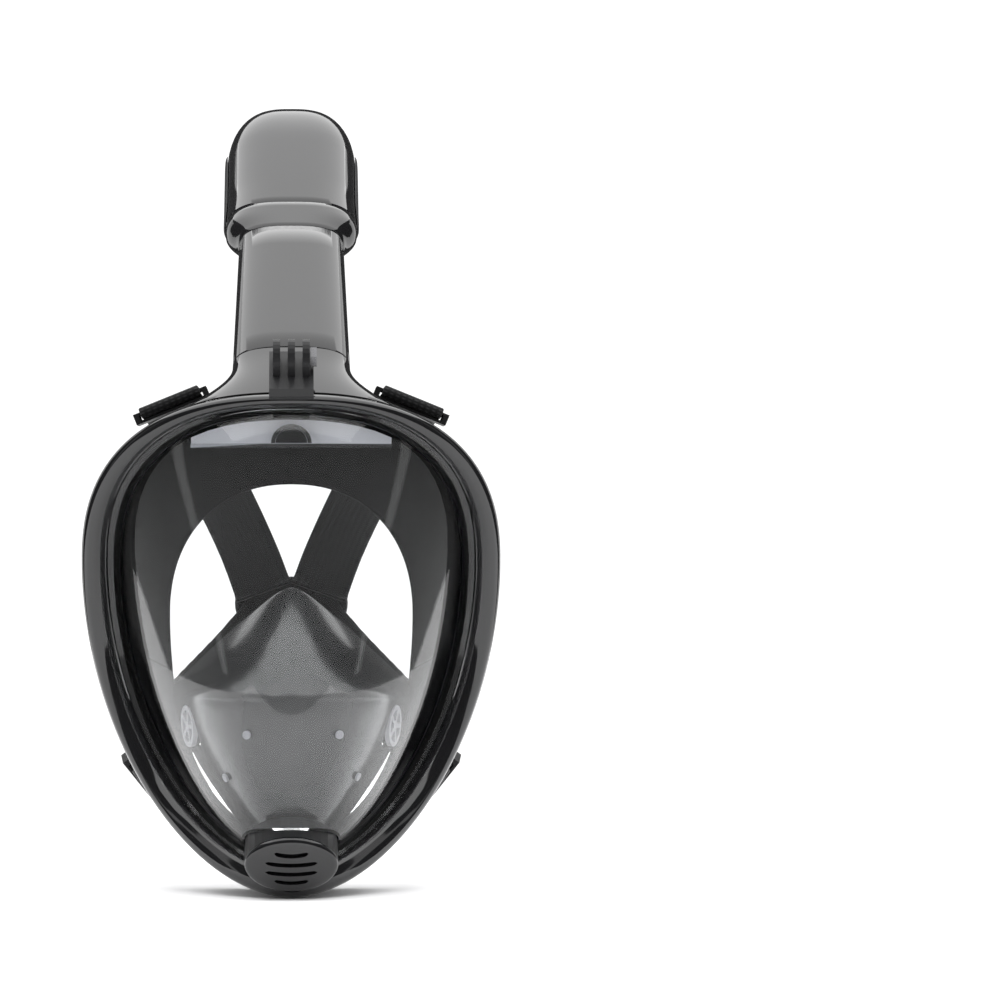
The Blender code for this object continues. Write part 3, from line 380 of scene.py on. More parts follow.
class Surface:
    """A node material with one Principled shader and helpers for patterns."""

    def __init__(self, name):
        self.material = bpy.data.materials.new(name)
        self.material.use_nodes = True
        self.tree = self.material.node_tree
        self.shader = self.tree.nodes["Principled BSDF"]
        self.output = self.tree.nodes["Material Output"]

    def node(self, kind):
        return self.tree.nodes.new(kind)

    def link(self, a, b):
        self.tree.links.new(a, b)

    def set(self, **values):
        for key, value in values.items():
            self.shader.inputs[key.replace("_", " ")].default_value = value
        return self

    def coords(self, kind="Object", stretch=(1.0, 1.0, 1.0)):
        source = self.node("ShaderNodeTexCoord")
        mapping = self.node("ShaderNodeMapping")
        mapping.inputs["Scale"].default_value = stretch
        self.link(source.outputs[kind], mapping.inputs["Vector"])
        return mapping.outputs["Vector"]

    def noise(self, scale, detail, coords=None):
        made = self.node("ShaderNodeTexNoise")
        made.inputs["Scale"].default_value = scale
        made.inputs["Detail"].default_value = detail
        self.link(coords or self.coords(), made.inputs["Vector"])
        return made.outputs["Fac"]

    def wave(self, scale, direction, coords):
        made = self.node("ShaderNodeTexWave")
        made.bands_direction = direction
        made.inputs["Scale"].default_value = scale
        made.inputs["Detail"].default_value = 1.0
        self.link(coords, made.inputs["Vector"])
        return made.outputs["Fac"]

    def span(self, value, low, high):
        """Spreads a noise value, which stays near 0.5, from low to high."""
        made = self.node("ShaderNodeMapRange")
        made.inputs["From Min"].default_value = 0.3
        made.inputs["From Max"].default_value = 0.7
        made.inputs["To Min"].default_value = low
        made.inputs["To Max"].default_value = high
        self.link(value, made.inputs["Value"])
        return made.outputs["Result"]

    def blend(self, value, first, second, start=0.3, end=0.7):
        ramp = self.node("ShaderNodeValToRGB")
        ramp.color_ramp.elements[0].position = start
        ramp.color_ramp.elements[1].position = end
        ramp.color_ramp.elements[0].color = (*first, 1.0)
        ramp.color_ramp.elements[1].color = (*second, 1.0)
        self.link(value, ramp.inputs["Fac"])
        return ramp.outputs["Color"]

    def join(self, a, b, kind="ADD"):
        made = self.node("ShaderNodeMath")
        made.operation = kind
        self.link(a, made.inputs[0])
        if isinstance(b, (int, float)):
            made.inputs[1].default_value = b
        else:
            self.link(b, made.inputs[1])
        return made.outputs["Value"]

    def bump(self, height, strength, distance):
        made = self.node("ShaderNodeBump")
        made.inputs["Strength"].default_value = strength
        made.inputs["Distance"].default_value = distance
        self.link(height, made.inputs["Height"])
        self.link(made.outputs["Normal"], self.shader.inputs["Normal"])

    def colour(self, value):
        self.link(value, self.shader.inputs["Base Color"])

    def rough(self, value):
        self.link(value, self.shader.inputs["Roughness"])


def gloss_plastic(name="gloss_black", dark=0.004, light=0.008):
    s = Surface(name).set(IOR=1.55)
    smudge = s.noise(14.0, 4.0)
    fine = s.noise(900.0, 2.0)
    s.colour(s.blend(smudge, (dark, dark, dark * 1.08), (light, light, light * 1.1)))
    s.rough(s.join(s.span(smudge, 0.035, 0.085), s.span(fine, 0.0, 0.03)))
    s.bump(s.noise(55.0, 1.0), 0.05, 0.0006)
    return s.material


def matte_plastic(name="matte_black", dark=0.008, light=0.014, low=0.36, high=0.48, lines=False):
    s = Surface(name).set(IOR=1.5, Specular_IOR_Level=0.22)
    cloud, grain = s.noise(22.0, 3.0), s.noise(2600.0, 2.0)
    s.colour(s.blend(cloud, (dark, dark, dark * 1.06), (light, light * 1.01, light * 1.08)))
    s.rough(s.join(s.span(cloud, low, high), s.span(grain, 0.0, 0.06)))
    if lines:
        ribs = s.wave(520.0, "X", s.coords())
        s.bump(s.join(ribs, s.join(grain, 0.35, "MULTIPLY")), 0.22, 0.0002)
    else:
        s.bump(grain, 0.16, 0.00025)
    return s.material


def silicone(name="silicone_black", dark=0.0025, light=0.005):
    s = Surface(name).set(IOR=1.43, Specular_IOR_Level=0.1)
    cloud, grain = s.noise(30.0, 3.0), s.noise(1500.0, 3.0)
    s.colour(s.blend(cloud, (dark, dark, dark * 1.04), (light, light, light * 1.04)))
    s.rough(s.join(s.span(cloud, 0.33, 0.44), s.span(grain, 0.0, 0.05)))
    s.bump(grain, 0.10, 0.0002)
    return s.material


def satin(name="silicone_satin"):
    """Polished dark silicone with a soft, strong shine."""
    s = Surface(name).set(IOR=1.52, Coat_Weight=0.2, Coat_Roughness=0.1)
    cloud, grain = s.noise(26.0, 3.0), s.noise(1500.0, 2.0)
    s.colour(s.blend(cloud, (0.016, 0.016, 0.0165), (0.026, 0.026, 0.0265)))
    s.rough(s.join(s.span(cloud, 0.17, 0.24), s.span(grain, 0.0, 0.03)))
    s.bump(grain, 0.02, 0.0001)
    return s.material


def clear_plastic(name, tint, low=0.0, high=0.012):
    """Glass-clear plastic that lets lamp light through."""
    s = Surface(name).set(IOR=1.32, Transmission_Weight=1.0)
    s.shader.inputs["Base Color"].default_value = (*tint, 1.0)
    film = s.noise(18.0, 4.0)
    s.rough(s.span(film, low, high))
    path = s.node("ShaderNodeLightPath")
    through = s.node("ShaderNodeBsdfTransparent")
    through.inputs["Color"].default_value = (*tint, 1.0)
    mix = s.node("ShaderNodeMixShader")
    s.link(path.outputs["Is Shadow Ray"], mix.inputs["Fac"])
    s.link(s.shader.outputs["BSDF"], mix.inputs[1])
    s.link(through.outputs["BSDF"], mix.inputs[2])
    s.link(mix.outputs["Shader"], s.output.inputs["Surface"])
    return s.material


def webbing(name="webbing_black"):
    """Elastic webbing: lengthwise ribs crossed by a fine weft, from the strap's own UVs."""
    s = Surface(name).set(IOR=1.45, Sheen_Weight=0.08, Sheen_Roughness=0.45, Specular_IOR_Level=0.25)
    uv = s.coords("UV")
    ribs = s.wave(115.0, "Y", uv)
    weft = s.wave(330.0, "X", uv)
    fuzz = s.noise(1800.0, 3.0)
    weave = s.join(s.join(ribs, weft, "MULTIPLY"), s.join(fuzz, 0.35, "MULTIPLY"))
    s.colour(s.blend(weave, (0.003, 0.003, 0.0033), (0.015, 0.015, 0.016), 0.1, 0.9))
    s.rough(s.span(fuzz, 0.62, 0.85))
    s.bump(weave, 0.55, 0.0004)
    return s.material


def webbing_plain(name="pad_fabric"):
    """Plain weave for the pad, which has no UVs."""
    s = Surface(name).set(IOR=1.45, Sheen_Weight=0.08, Sheen_Roughness=0.5, Specular_IOR_Level=0.25)
    rows = s.wave(420.0, "X", s.coords())
    cross = s.wave(420.0, "Z", s.coords())
    fuzz = s.noise(1600.0, 3.0)
    weave = s.join(s.join(rows, cross, "MULTIPLY"), s.join(fuzz, 0.4, "MULTIPLY"))
    s.colour(s.blend(weave, (0.003, 0.003, 0.0033), (0.013, 0.013, 0.014), 0.1, 0.9))
    s.rough(s.span(fuzz, 0.7, 0.9))
    s.bump(weave, 0.5, 0.0004)
    return s.material


def brushed(name="nut_steel"):
    s = Surface(name).set(Metallic=1.0)
    grain = s.noise(900.0, 3.0, s.coords("Object", (8.0, 1.0, 1.0)))
    s.colour(s.blend(grain, (0.10, 0.10, 0.105), (0.16, 0.16, 0.165)))
    s.rough(s.span(grain, 0.22, 0.4))
    s.bump(grain, 0.1, 0.0002)
    return s.material


def foam(name="float_foam"):
    s = Surface(name)
    cells = s.noise(1400.0, 4.0)
    s.colour(s.blend(cells, (0.45, 0.17, 0.03), (0.62, 0.28, 0.07)))
    s.rough(s.span(cells, 0.6, 0.85))
    s.bump(cells, 0.5, 0.0004)
    return s.material


def paper(name="floor_white"):
    s = Surface(name)
    grain = s.noise(6.0, 3.0)
    s.colour(s.blend(grain, (0.86, 0.86, 0.865), (0.88, 0.88, 0.885)))
    s.rough(s.span(grain, 0.7, 0.8))
    return s.material


GLOSS = gloss_plastic()
MATTE = matte_plastic()
RIBBED = matte_plastic("matte_ribbed", lines=True)
RUBBER = silicone()
POCKET = satin()
CLEAR = clear_plastic("clear_lens", (0.975, 0.985, 0.99))
SMOKE = clear_plastic("smoke_clear", (0.84, 0.86, 0.88), 0.12, 0.24)
FROST = matte_plastic("frosted_grey", 0.78, 0.86, 0.25, 0.36)
WEBBING = webbing()
STEEL = brushed()
FOAM = foam()
GREY = matte_plastic("vent_grey", 0.22, 0.30, 0.3, 0.42)
WEBBING_PLAIN = webbing_plain()
FLOOR = paper()


# ---------------------------------------------------------------------- pieces


def hoop(name, profile, surface, slot, node, count=160, angle=35.0):
    """A ring that follows the mask's outline with the section that profile gives at each angle."""
    rings = [[wall(a, *spot) for spot in profile(a)] for a in angles(count)]
    return piece(name, loft_mesh(rings, closed=True), surface, "mask", (node,), angle)


def bezel():
    flat = [
        (0.0, -3.7), (0.0, 0.6), (0.7, 2.4), (2.4, 4.0), (5.2, 4.7), (8.2, 4.0), (10.2, 2.3),
        (11.0, 0.5), (11.0, -0.2), (6.6, -0.2), (6.6, -3.7),
    ]
    flat = soft_profile(flat, 0.9)
    made = hoop("bezel", lambda a: [(n, f, 0.0) for n, f in flat], GLOSS, "gloss_black", "bezel_ring")
    cut_by(made, chin_tool("bezel_cut", BEZEL_CUT_LOW))


def chin_side():
    return CHIN_UP.cross(CHIN_NORMAL).normalized()


def chin_tool(name, low):
    """Clears the place of the chin cover, from low along the chin's normal outwards."""
    wide, high = CHIN_HALF_WIDTH + CUT_CLEARANCE, CHIN_HALF_HEIGHT + CUT_CLEARANCE
    rings = [
        oval(CHIN_CENTRE, chin_side(), CHIN_UP, wide, high, 72, CHIN_NORMAL * level)
        for level in (low, CUT_HIGH)
    ]
    return tool(name, loft_mesh(rings))


def frame_band():
    def profile(a):
        rear = frame_depth(outline(a)[1])
        lip = 0.35 * smooth((math.sin(a) + 0.4) / 0.5)
        return [
            (3.2, -8.6, 0.0), (14.4, -8.6, 0.0), (14.4, -6.6, 0.0), (6.2, -6.6, 0.0), (6.2, -4.1, 0.0),
            (0.7, -4.1, 0.0), (0.35, -4.5, 0.0), (0.3, -6.0, 0.0), (0.3, 0.0, rear * 0.55),
            (0.3 + lip, 0.0, rear - 0.03), (0.8 + lip, 0.0, rear), (2.8, 0.0, rear), (3.2, 0.0, rear - 0.02),
        ]

    hoop("frame_band", profile, MATTE, "matte_black", "rear_frame", 176, 40.0)


def skirt():
    rows = []
    count = 88
    for inset, level, depth in (
        (7.8, SKIRT_LEVEL, 0.0), (8.4, SKIRT_LEVEL, 0.0), (15.4, SKIRT_LEVEL, 0.0), (16.4, SKIRT_LEVEL, 0.0),
        (16.6, 0.0, 0.24), (16.4, 0.0, 0.38), (9.0, 0.0, 0.55), (5.6, 0.0, 0.66), (5.1, 0.0, 0.74),
        (5.1, 0.0, 0.9), (5.9, 0.0, 0.97), (9.5, 0.0, 1.0),
    ):
        rows.append([wall(a, inset, level, depth) for a in angles(count)])
    edge = [opening_point(a) for a in angles(count)]
    back = rows[-1]
    for share, push in ((0.3, -1.8), (0.65, -1.6), (0.92, 0.0)):
        rows.append([p.lerp(q, share) + Vector((0.0, push, 0.0)) for p, q in zip(back, edge)])
    rows.append(edge)
    made = piece("skirt", surface_mesh(rows), RUBBER, "mask", ("face_skirt",), 60.0)
    thicken(made, SKIRT_THICK)
    softer(made)


def lens():
    count = 176
    rows = [
        [wall(a, inset, LENS_LEVEL) for a in angles(count)]
        for inset in (LENS_FLANGE, LENS_FLANGE + 0.4, LENS_INSET - 0.7, LENS_INSET)
    ]
    for share in (
        0.992, 0.98, 0.965, 0.945, 0.92, 0.89, 0.855, 0.815, 0.77, 0.72, 0.665, 0.605, 0.54,
        0.47, 0.4, 0.33, 0.26, 0.19, 0.12, 0.06,
    ):
        row = []
        for a in angles(count):
            x, z = outline(a, LENS_INSET)
            x, z = x * share, LENS_HUB_Z + (z - LENS_HUB_Z) * share
            row.append(Vector((x, -lens_forward(x, z), z)))
        rows.append(row)
    shape = surface_mesh(rows, centre=Vector((0, -lens_forward(0, LENS_HUB_Z), LENS_HUB_Z)))
    made = piece("lens", shape, CLEAR, "mask", ("visor_lens",), 50.0)
    thicken(made, LENS_THICK)
    cut_by(made, chin_tool("lens_cut", LENS_CUT_LOW))


def pocket_row(z, count):
    """One level of the pocket, from its left rear edge over the front to the right one."""
    row = []
    rear = pocket_rear(z)
    for k in range(count):
        turn = math.pi * (k / (count - 1.0) - 0.5)
        x = pocket_width(z) * signed_power(math.sin(turn), 2.0 / POCKET_SIDE)
        forward = rear + (pocket_front(z) - rear) * max(0.0, math.cos(turn)) ** (2.0 / POCKET_NOSE)
        row.append(Vector((x, -forward, z)))
    return row


def lobe(x, share):
    """Crowned cheek on each side of a raised middle band, on the pocket's upper face."""
    reach = abs(x) / CREASE_HALF
    across = smooth((reach - 0.1) / 0.2) * smooth((1.0 - reach) / 0.3)
    along = math.sin(math.pi * min(1.0, max(0.0, share)) ** 0.55) ** 0.6
    band = BAND_HEIGHT * smooth((0.12 - reach) / 0.04)
    height = LOBE_HEIGHT * across * along + band * along
    return Vector((0.0, -0.8, 0.5)) * height


def nose_pocket():
    count = 61
    crease = pocket_row(CREASE_Z, count)
    rows = []
    for share in (1.0, 0.97, 0.9, 0.8, 0.7, 0.6, 0.5, 0.4, 0.3, 0.2, 0.13, 0.08, 0.04, 0.015):
        row = []
        for point in crease:
            side = abs(point.x) / CREASE_HALF
            top_z = POCKET_TOP_Z + (CREASE_Z + 3.0 - POCKET_TOP_Z) * side**1.15
            top_forward = 40.0 + (pocket_rear(CREASE_Z) - 40.0) * side**1.3
            top = Vector((point.x, -min(top_forward, -point.y), top_z))
            bow = 3.0 * share * (1.0 - share)
            row.append(point.lerp(top, share) + Vector((0.0, 0.0, bow)) + lobe(point.x, share))
        rows.append(row)
    rows.append(crease)
    for share in (0.01, 0.04, 0.09, 0.18, 0.3, 0.42, 0.55, 0.68, 0.8, 0.9, 0.97, 1.0):
        rows.append(pocket_row(CREASE_Z + (POCKET_BOTTOM_Z - CREASE_Z) * share, count))
    shape = surface_mesh(rows, hoop=False)
    made = piece("pocket", shape, POCKET, "mask", ("nose_pocket",), 70.0)
    thicken(made, POCKET_THICK)
    for side, label in SIDES:
        cut_by(made, port_tool(side, label))
    softer(made)


def port_tool(side, label):
    """Hole through the pocket for an inhale valve."""
    normal = Vector((side * 0.95, -0.3, -0.1)).normalized()
    across = normal.cross(Vector((0.0, 0.0, 1.0))).normalized()
    up = across.cross(normal).normalized()
    centre = Vector((side * PORT_CENTRE.x, PORT_CENTRE.y, PORT_CENTRE.z))
    rings = [
        oval(centre + normal * level, across, up, PORT_RADIUS, PORT_RADIUS, 48)
        for level in (PORT_LOW, PORT_HIGH)
    ]
    return tool(f"port_{label}", loft_mesh(rings))


def socket():
    """Hollow hood that flares from the tube seam down on to the frame."""
    shares = (0.0, 0.012, 0.1, 0.2, 0.3, 0.4, 0.5, 0.6, 0.7, 0.8, 0.88, 0.94, 0.985, 1.0)
    outer, inner = [], []
    for share in shares:
        grow = 0.5 - 0.5 * math.cos(math.pi * share)
        for rows, less in ((outer, 0.0), (inner, SOCKET_WALL)):
            ease = 0.5 if share in (0.0, 1.0) and not less else 0.0
            across = TUBE_HALF_WIDTH + SOCKET_FLARE * share**2.6 - less - ease
            thick = TUBE_HALF_THICK + 1.4 * grow - less - ease
            ring = []
            for x, n in rounded(across, thick, 96, 3.0 - 0.6 * share):
                base = Vector((x, -SOCKET_FORWARD - n * 1.02, roof(x) + 0.5))
                ring.append(snorkel_point(x, -0.3, n).lerp(base, share))
            rows.append(ring)
    shape = loft_mesh(outer + inner[::-1], closed=True)
    piece("socket", shape, GLOSS, "mask", ("snorkel_socket",), 40.0)


def tube_half(name, node, surface, side):
    """Front (side 1) or rear (side -1) shell of the tube, open towards the other one."""
    rings = []
    count = 40
    for along in (0.3, 0.8, 12.0, 24.0, 36.0, 48.0, 60.0, 72.0, 84.0, 98.5, 99.0):
        ease = 0.4 if along in (0.3, 99.0) else 0.0
        width = TUBE_HALF_WIDTH - TUBE_NARROWING * (along - 0.3) / (TUBE_LENGTH - 0.3)
        section = []
        for less, order in ((ease, 1), (TUBE_WALL, -1)):
            for k in range(count + 1)[::order]:
                turn = math.pi * k / count
                x = (width - less) * signed_power(math.cos(turn), 2.0 / TUBE_POWER)
                n = (TUBE_HALF_THICK - less) * abs(math.sin(turn)) ** (2.0 / TUBE_POWER)
                section.append(snorkel_point(x, along, side * (n + GAP / 2.0)))
        rings.append(section)
    piece(name, loft_mesh(rings), surface, "snorkel", (node,), 40.0)


def head_shell(name, node, stations, capped):
    """Hollow length of the head, with the grille's hole cut out; capped closes its far end."""
    count = 96
    outer = []
    for along in stations:
        ease = 0.4 if along in (stations[0], stations[-1]) else 0.0
        outer.append([snorkel_point(x, along, n) for x, n in head_section(along, ease, count)])
    inside = [s for s in stations if s < HEAD_END - 5.0] if capped else stations
    inner = [[snorkel_point(x, a, n) for x, n in head_section(a, HEAD_WALL, count)] for a in inside]
    shape = loft_mesh(inner[::-1] + outer, closed=not capped)
    made = piece(name, shape, GLOSS, "snorkel", (node,), 40.0)
    cut_by(made, wedge_tool(f"{name}_hole"))


def under_neck(along):
    return -TUBE_HALF_THICK - (HEAD_DROP - TUBE_HALF_THICK) * smooth((along - NECK_START) / NECK_SLOPE)


def wedge_tool(name):
    """Opens the underside of the head where the intake grille sits."""
    rings = []
    for along, inward in ((HATCH_LOW, 0.5), (HATCH_HIGH, -0.5)):
        top = under_neck(along + inward) + 4.5
        corners = ((-HATCH_HALF, -60.0), (HATCH_HALF, -60.0), (HATCH_HALF, top), (-HATCH_HALF, top))
        rings.append([snorkel_point(x, along, n) for x, n in corners])
    return tool(name, loft_mesh(rings))


def head_panel(side, label):
    """Inset matte panel with a softened rim that follows the side of the head."""
    rings = []
    stations = steps(PANEL_LOW, PANEL_HIGH, 41)
    middle, half = (PANEL_LOW + PANEL_HIGH) / 2.0, (PANEL_HIGH - PANEL_LOW) / 2.0
    for along in stations:
        reach = PANEL_REACH * (1.0 - 0.35 * abs((along - middle) / half) ** 6)
        levels = [(share, PANEL_LEVEL + reach * share) for share in steps(-1.0, 1.0, 13)]
        ease = 0.5 if along in (stations[0], stations[-1]) else 0.0
        outer = []
        for share, n in levels:
            lift = 1.1 - 0.5 * max(0.0, abs(share) - 0.8) / 0.2
            outer.append((head_side(along, n) + max(0.5, lift - ease), n))
        inner = [(head_side(along, n) + 0.3, n) for share, n in levels]
        rings.append([snorkel_point(side * x, along, n) for x, n in inner + outer[::-1]])
    shape = loft_mesh(rings)
    piece(f"panel_{label}", shape, MATTE, "snorkel", (f"head_panel_{label}",), 40.0)


def strap_mesh(path, widths, thick, width):
    """A flat strap with rounded edges and lengthwise UVs; widths are its sideways directions."""
    shape = bmesh.new()
    layer = shape.loops.layers.uv.new("UVMap")
    section = [(-1.0, 0.0), (-0.985, 0.75)] + [(i * 0.95, 1.0) for i in steps(-1.0, 1.0, 9)]
    section += [(0.985, 0.75), (1.0, 0.0)]
    section += [(i, -j) for i, j in section[-2:0:-1]]
    rows, lengths, run = [], [], 0.0
    for k, point in enumerate(path):
        before, after = path[max(0, k - 1)], path[min(len(path) - 1, k + 1)]
        along = (after - before).normalized()
        across = (widths[k] - along * widths[k].dot(along)).normalized()
        face = along.cross(across).normalized()
        run += (point - before).length
        lengths.append(run)
        spots = [point + across * (i * width / 2.0) + face * (j * thick / 2.0) for i, j in section]
        rows.append([shape.verts.new(spot) for spot in spots])
    count = len(section)
    for r in range(len(rows) - 1):
        for k in range(count):
            after = (k + 1) % count
            made = shape.faces.new((rows[r][k], rows[r][after], rows[r + 1][after], rows[r + 1][k]))
            corners = ((r, k), (r, k + 1), (r + 1, k + 1), (r + 1, k))
            for loop, (i, j) in zip(made.loops, corners):
                side = section[j % count][0]
                loop[layer].uv = (lengths[i] * MM, side * width * 0.5 * MM)
    shape.faces.new(rows[0])
    shape.faces.new(rows[-1])
    return shape


def smooth_path(points, widths, count):
    """Evenly resamples a polyline through a Catmull-Rom curve."""
    out, sides = [], []
    last = len(points) - 1
    for k in range(count + 1):
        s = k / count * last
        i = min(last - 1, int(s))
        t = s - i
        p = [points[max(0, min(last, i + d))] for d in (-1, 0, 1, 2)]
        out.append(
            0.5 * (2.0 * p[1] + (p[2] - p[0]) * t + (2.0 * p[0] - 5.0 * p[1] + 4.0 * p[2] - p[3]) * t * t
                   + (3.0 * p[1] - p[0] - 3.0 * p[2] + p[3]) * t**3)
        )
        sides.append(widths[i].lerp(widths[min(last, i + 1)], t))
    return out, sides


def bracket_frame(side):
    """Place of an upper bracket, with the directions along its bar and away from the frame."""
    x = BRACKET_X
    tangent = Vector((side, 0.0, (roof(x + 1.0) - roof(x - 1.0)) / 2.0)).normalized()
    rise = Vector((-tangent.z * side, 0.0, abs(tangent.x))).normalized()
    return Vector((side * x, 0.0, roof(x))) + rise * BRACKET_STEP, tangent, rise


def clip_frame(side):
    """Place of a lower clip, with the directions along its bar and away from the mask."""
    x = half_width_at(CLIP_Z, 0.0)
    run = half_width_at(CLIP_Z + CLIP_SPAN, 0.0) - half_width_at(CLIP_Z - CLIP_SPAN, 0.0)
    across = Vector((side * run, 0.0, 2.0 * CLIP_SPAN)).normalized()
    out = Vector((side * across.z, 0.0, -abs(across.x)))
    return Vector((side * x, 0.0, CLIP_Z)) - out * BRACKET_STEP, across, out


def strap_piece(name, shape, *nodes):
    piece(name, shape, WEBBING, "mask", nodes, 60.0)


def upper_strap(side, label):
    """Strap through the bracket, folded back over it and sewn down behind."""
    base, tangent, rise = bracket_frame(side)
    lift = base + rise * STRAP_LIFT
    path = [lift + Vector((0.0, y, 0.0)) for y in (-27.0, -12.0)]
    path += bezier(
        [
            lift + Vector((0.0, 3.5, 0.0)), lift + Vector((0.0, 22.0, 0.0)),
            Vector((side * 40.0, 50.0, 66.0)), Vector((side * 23.0, 74.0, 36.0)),
            Vector((side * 13.7, 81.0, 8.0)),
        ],
        9,
    )
    end = Vector((side * 0.94, 0.05, 0.34))
    widths = [tangent.copy() for k in range(3)] + [tangent.lerp(end, k / 9.0) for k in range(1, 10)]
    last = path[-1]
    path.append(last + (last - path[-2]).normalized() * 4.0)
    path[-1].y = last.y
    widths.append(widths[-1])
    path, widths = smooth_path(path, widths, 66)
    shape = strap_mesh(path, widths, STRAP_THICK, STRAP_WIDTH)
    strap_piece(f"strap_upper_{label}_woven", shape, f"strap_upper_{label}")
    loop, turn = [], FOLD_GAP / 2.0
    for k in range(13):
        a = math.pi * k / 12.0
        forward = Vector((0.0, FOLD_FRONT - turn * math.sin(a), 0.0))
        loop.append(lift + rise * (turn - turn * math.cos(a)) + forward)
    fold = [lift + Vector((0.0, -30.0, 0.0))] + loop
    fold += [lift + rise * FOLD_GAP + Vector((0.0, y, 0.0)) for y in (-28.0, -20.0, -12.0, -4.0, 1.0)]
    fold += [lift + rise * 3.0 + Vector((0.0, 5.0, 0.0)), lift + rise * 2.2 + Vector((0.0, 11.0, -0.6))]
    fold, sides = smooth_path(fold, [tangent] * len(fold), 60)
    strap_piece(f"strap_upper_{label}_fold", strap_mesh(fold, sides, FOLD_THICK, STRAP_WIDTH))


def lower_strap(side, label):
    """Strap from the pad to the clip at the jaw, with its end folded round the clip's bar."""
    middle, across, out = clip_frame(side)
    end = middle + out * 1.0 + Vector((0.0, 47.4, 0.0))
    path = bezier(
        [
            Vector((side * 16.5, 82.5, -15.1)), Vector((side * 34.0, 95.0, -36.0)),
            Vector((side * 58.0, 99.0, -56.0)), Vector((side * 70.0, 86.0, -74.0)),
            end + Vector((side * 1.0, 20.0, 1.0)), end,
        ],
        14,
    )
    start = Vector((side * 0.743, 0.1, 0.669))
    widths = [start.lerp(across, min(1.0, k / 12.0)) for k in range(15)]
    first = path[0] + Vector((side * -5.0, 0.0, 5.5))
    path[0] = path[0] + Vector((0.0, -0.3, 0.0))
    first.y = path[0].y - 0.2
    path.insert(0, first)
    widths.insert(0, widths[0])
    path, widths = smooth_path(path, widths, 70)
    shape = strap_mesh(path, widths, STRAP_THICK, STRAP_WIDTH)
    strap_piece(f"strap_lower_{label}_woven", shape, f"strap_lower_{label}")
    turns = (
        (1.0, 49.0), (2.6, 44.0), (2.9, 39.5), (1.8, 35.8), (-0.4, 34.6), (-2.2, 36.2), (-2.6, 41.0),
        (-1.2, 50.0),
    )
    fold = [middle + out * level + Vector((0.0, y, 0.0)) for level, y in turns]
    fold, sides = smooth_path(fold, [across] * len(fold), 56)
    strap_piece(f"strap_lower_{label}_fold", strap_mesh(fold, sides, FOLD_THICK, STRAP_WIDTH - 0.6))


def chin_rings(profile, count):
    """Ovals in the chin's proportions, given as (half width, level along the normal)."""
    ratio = CHIN_HALF_HEIGHT / CHIN_HALF_WIDTH
    return [
        oval(CHIN_CENTRE, chin_side(), CHIN_UP, wide, wide * ratio, count, CHIN_NORMAL * level)
        for wide, level in profile
    ]


def slit_tool(k):
    """Bowed slit number k, counted from the bottom of the chin cover."""
    level = SLIT_LOWEST + SLIT_PITCH * k
    reach = 11.5 - 0.09 * level * level
    rings = []
    for out in (0.8, 8.0):
        top, bottom = [], []
        for u in steps(-1.0, 1.0, 17):
            lift = level - 1.5 + 1.1 * u * u
            thin = math.sqrt(max(0.0, 1.0 - abs(u) ** 8))
            for edge, height in ((top, lift + 1.0 + thin), (bottom, lift + 1.0 - thin)):
                edge.append(CHIN_CENTRE + chin_side() * (u * reach) + CHIN_UP * height + CHIN_NORMAL * out)
        rings.append(top + bottom[-2:0:-1])
    return tool(f"chin_slit_{k}", loft_mesh(rings))


def chin_cover():
    wide = CHIN_HALF_WIDTH
    profile = [
        (wide - 3.0, 0.3), (wide - 0.25, 0.3), (wide, 0.55), (wide, 1.2), (wide - 0.5, 2.0),
        (wide - 1.6, 2.65), (wide - 3.6, 3.25), (wide - 6.0, 3.7), (wide - 9.0, 4.05), (wide - 12.0, 4.2),
        (wide - 16.0, 4.3),
    ]
    shape = loft_mesh(chin_rings(profile, 96))
    made = piece("chin_cover", shape, GLOSS, "mask", ("chin_valve_cover",))
    hollow = [(wide - 3.0, -1.0), (wide - 4.2, 1.0), (wide - 8.0, 1.7), (wide - 12.0, 2.2)]
    cut_by(made, tool("chin_hollow", loft_mesh(chin_rings(hollow, 64))))
    for k in range(SLIT_COUNT):
        cut_by(made, slit_tool(k))


def back_pad():
    """Soft cross-shaped pad: a crowned top and bottom with pulled-in edges."""
    corners = []
    for x, z, turn in ((13.3, 7.0, 70.0), (15.5, -14.0, -48.0), (-15.5, -14.0, -132.0), (-13.3, 7.0, 110.0)):
        a = math.radians(turn)
        beside = Vector((-math.sin(a), math.cos(a))) * STRAP_WIDTH / 2.0
        corners += [Vector((x, z)) + beside, Vector((x, z)) - beside]
    flat = soft_profile([(p.x, p.y) for p in corners], 2.5)
    edge = []
    for k, p in enumerate(flat):
        a, b = Vector(p), Vector(flat[(k + 1) % len(flat)])
        parts = max(1, int((b - a).length / 2.5))
        edge += [a.lerp(b, i / parts) for i in range(parts)]
    rows = [
        (0.02, PAD_HALF), (0.2, PAD_HALF), (0.4, 2.33), (0.6, 2.3), (0.78, 2.2), (0.84, 1.75), (0.88, 1.6),
        (0.93, 1.75), (0.97, 1.45), (0.99, 0.8), (1.0, 0.0),
    ]
    levels = [(share, -half) for share, half in rows] + rows[-2::-1]
    rings = [
        [Vector((p.x * share, PAD_Y + lift, p.y * share + PAD_Z)) for p in edge]
        for share, lift in levels
    ]
    made = piece("pad", loft_mesh(rings), WEBBING_PLAIN, "mask", ("back_pad",), 60.0)


def paint(node, surface, edge=0.0):
    """Gives a shown CAD node its finish and softened edges."""
    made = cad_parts[node]
    made.data.materials.clear()
    made.data.materials.append(surface)
    if edge:
        bevel(made, edge)
    return made


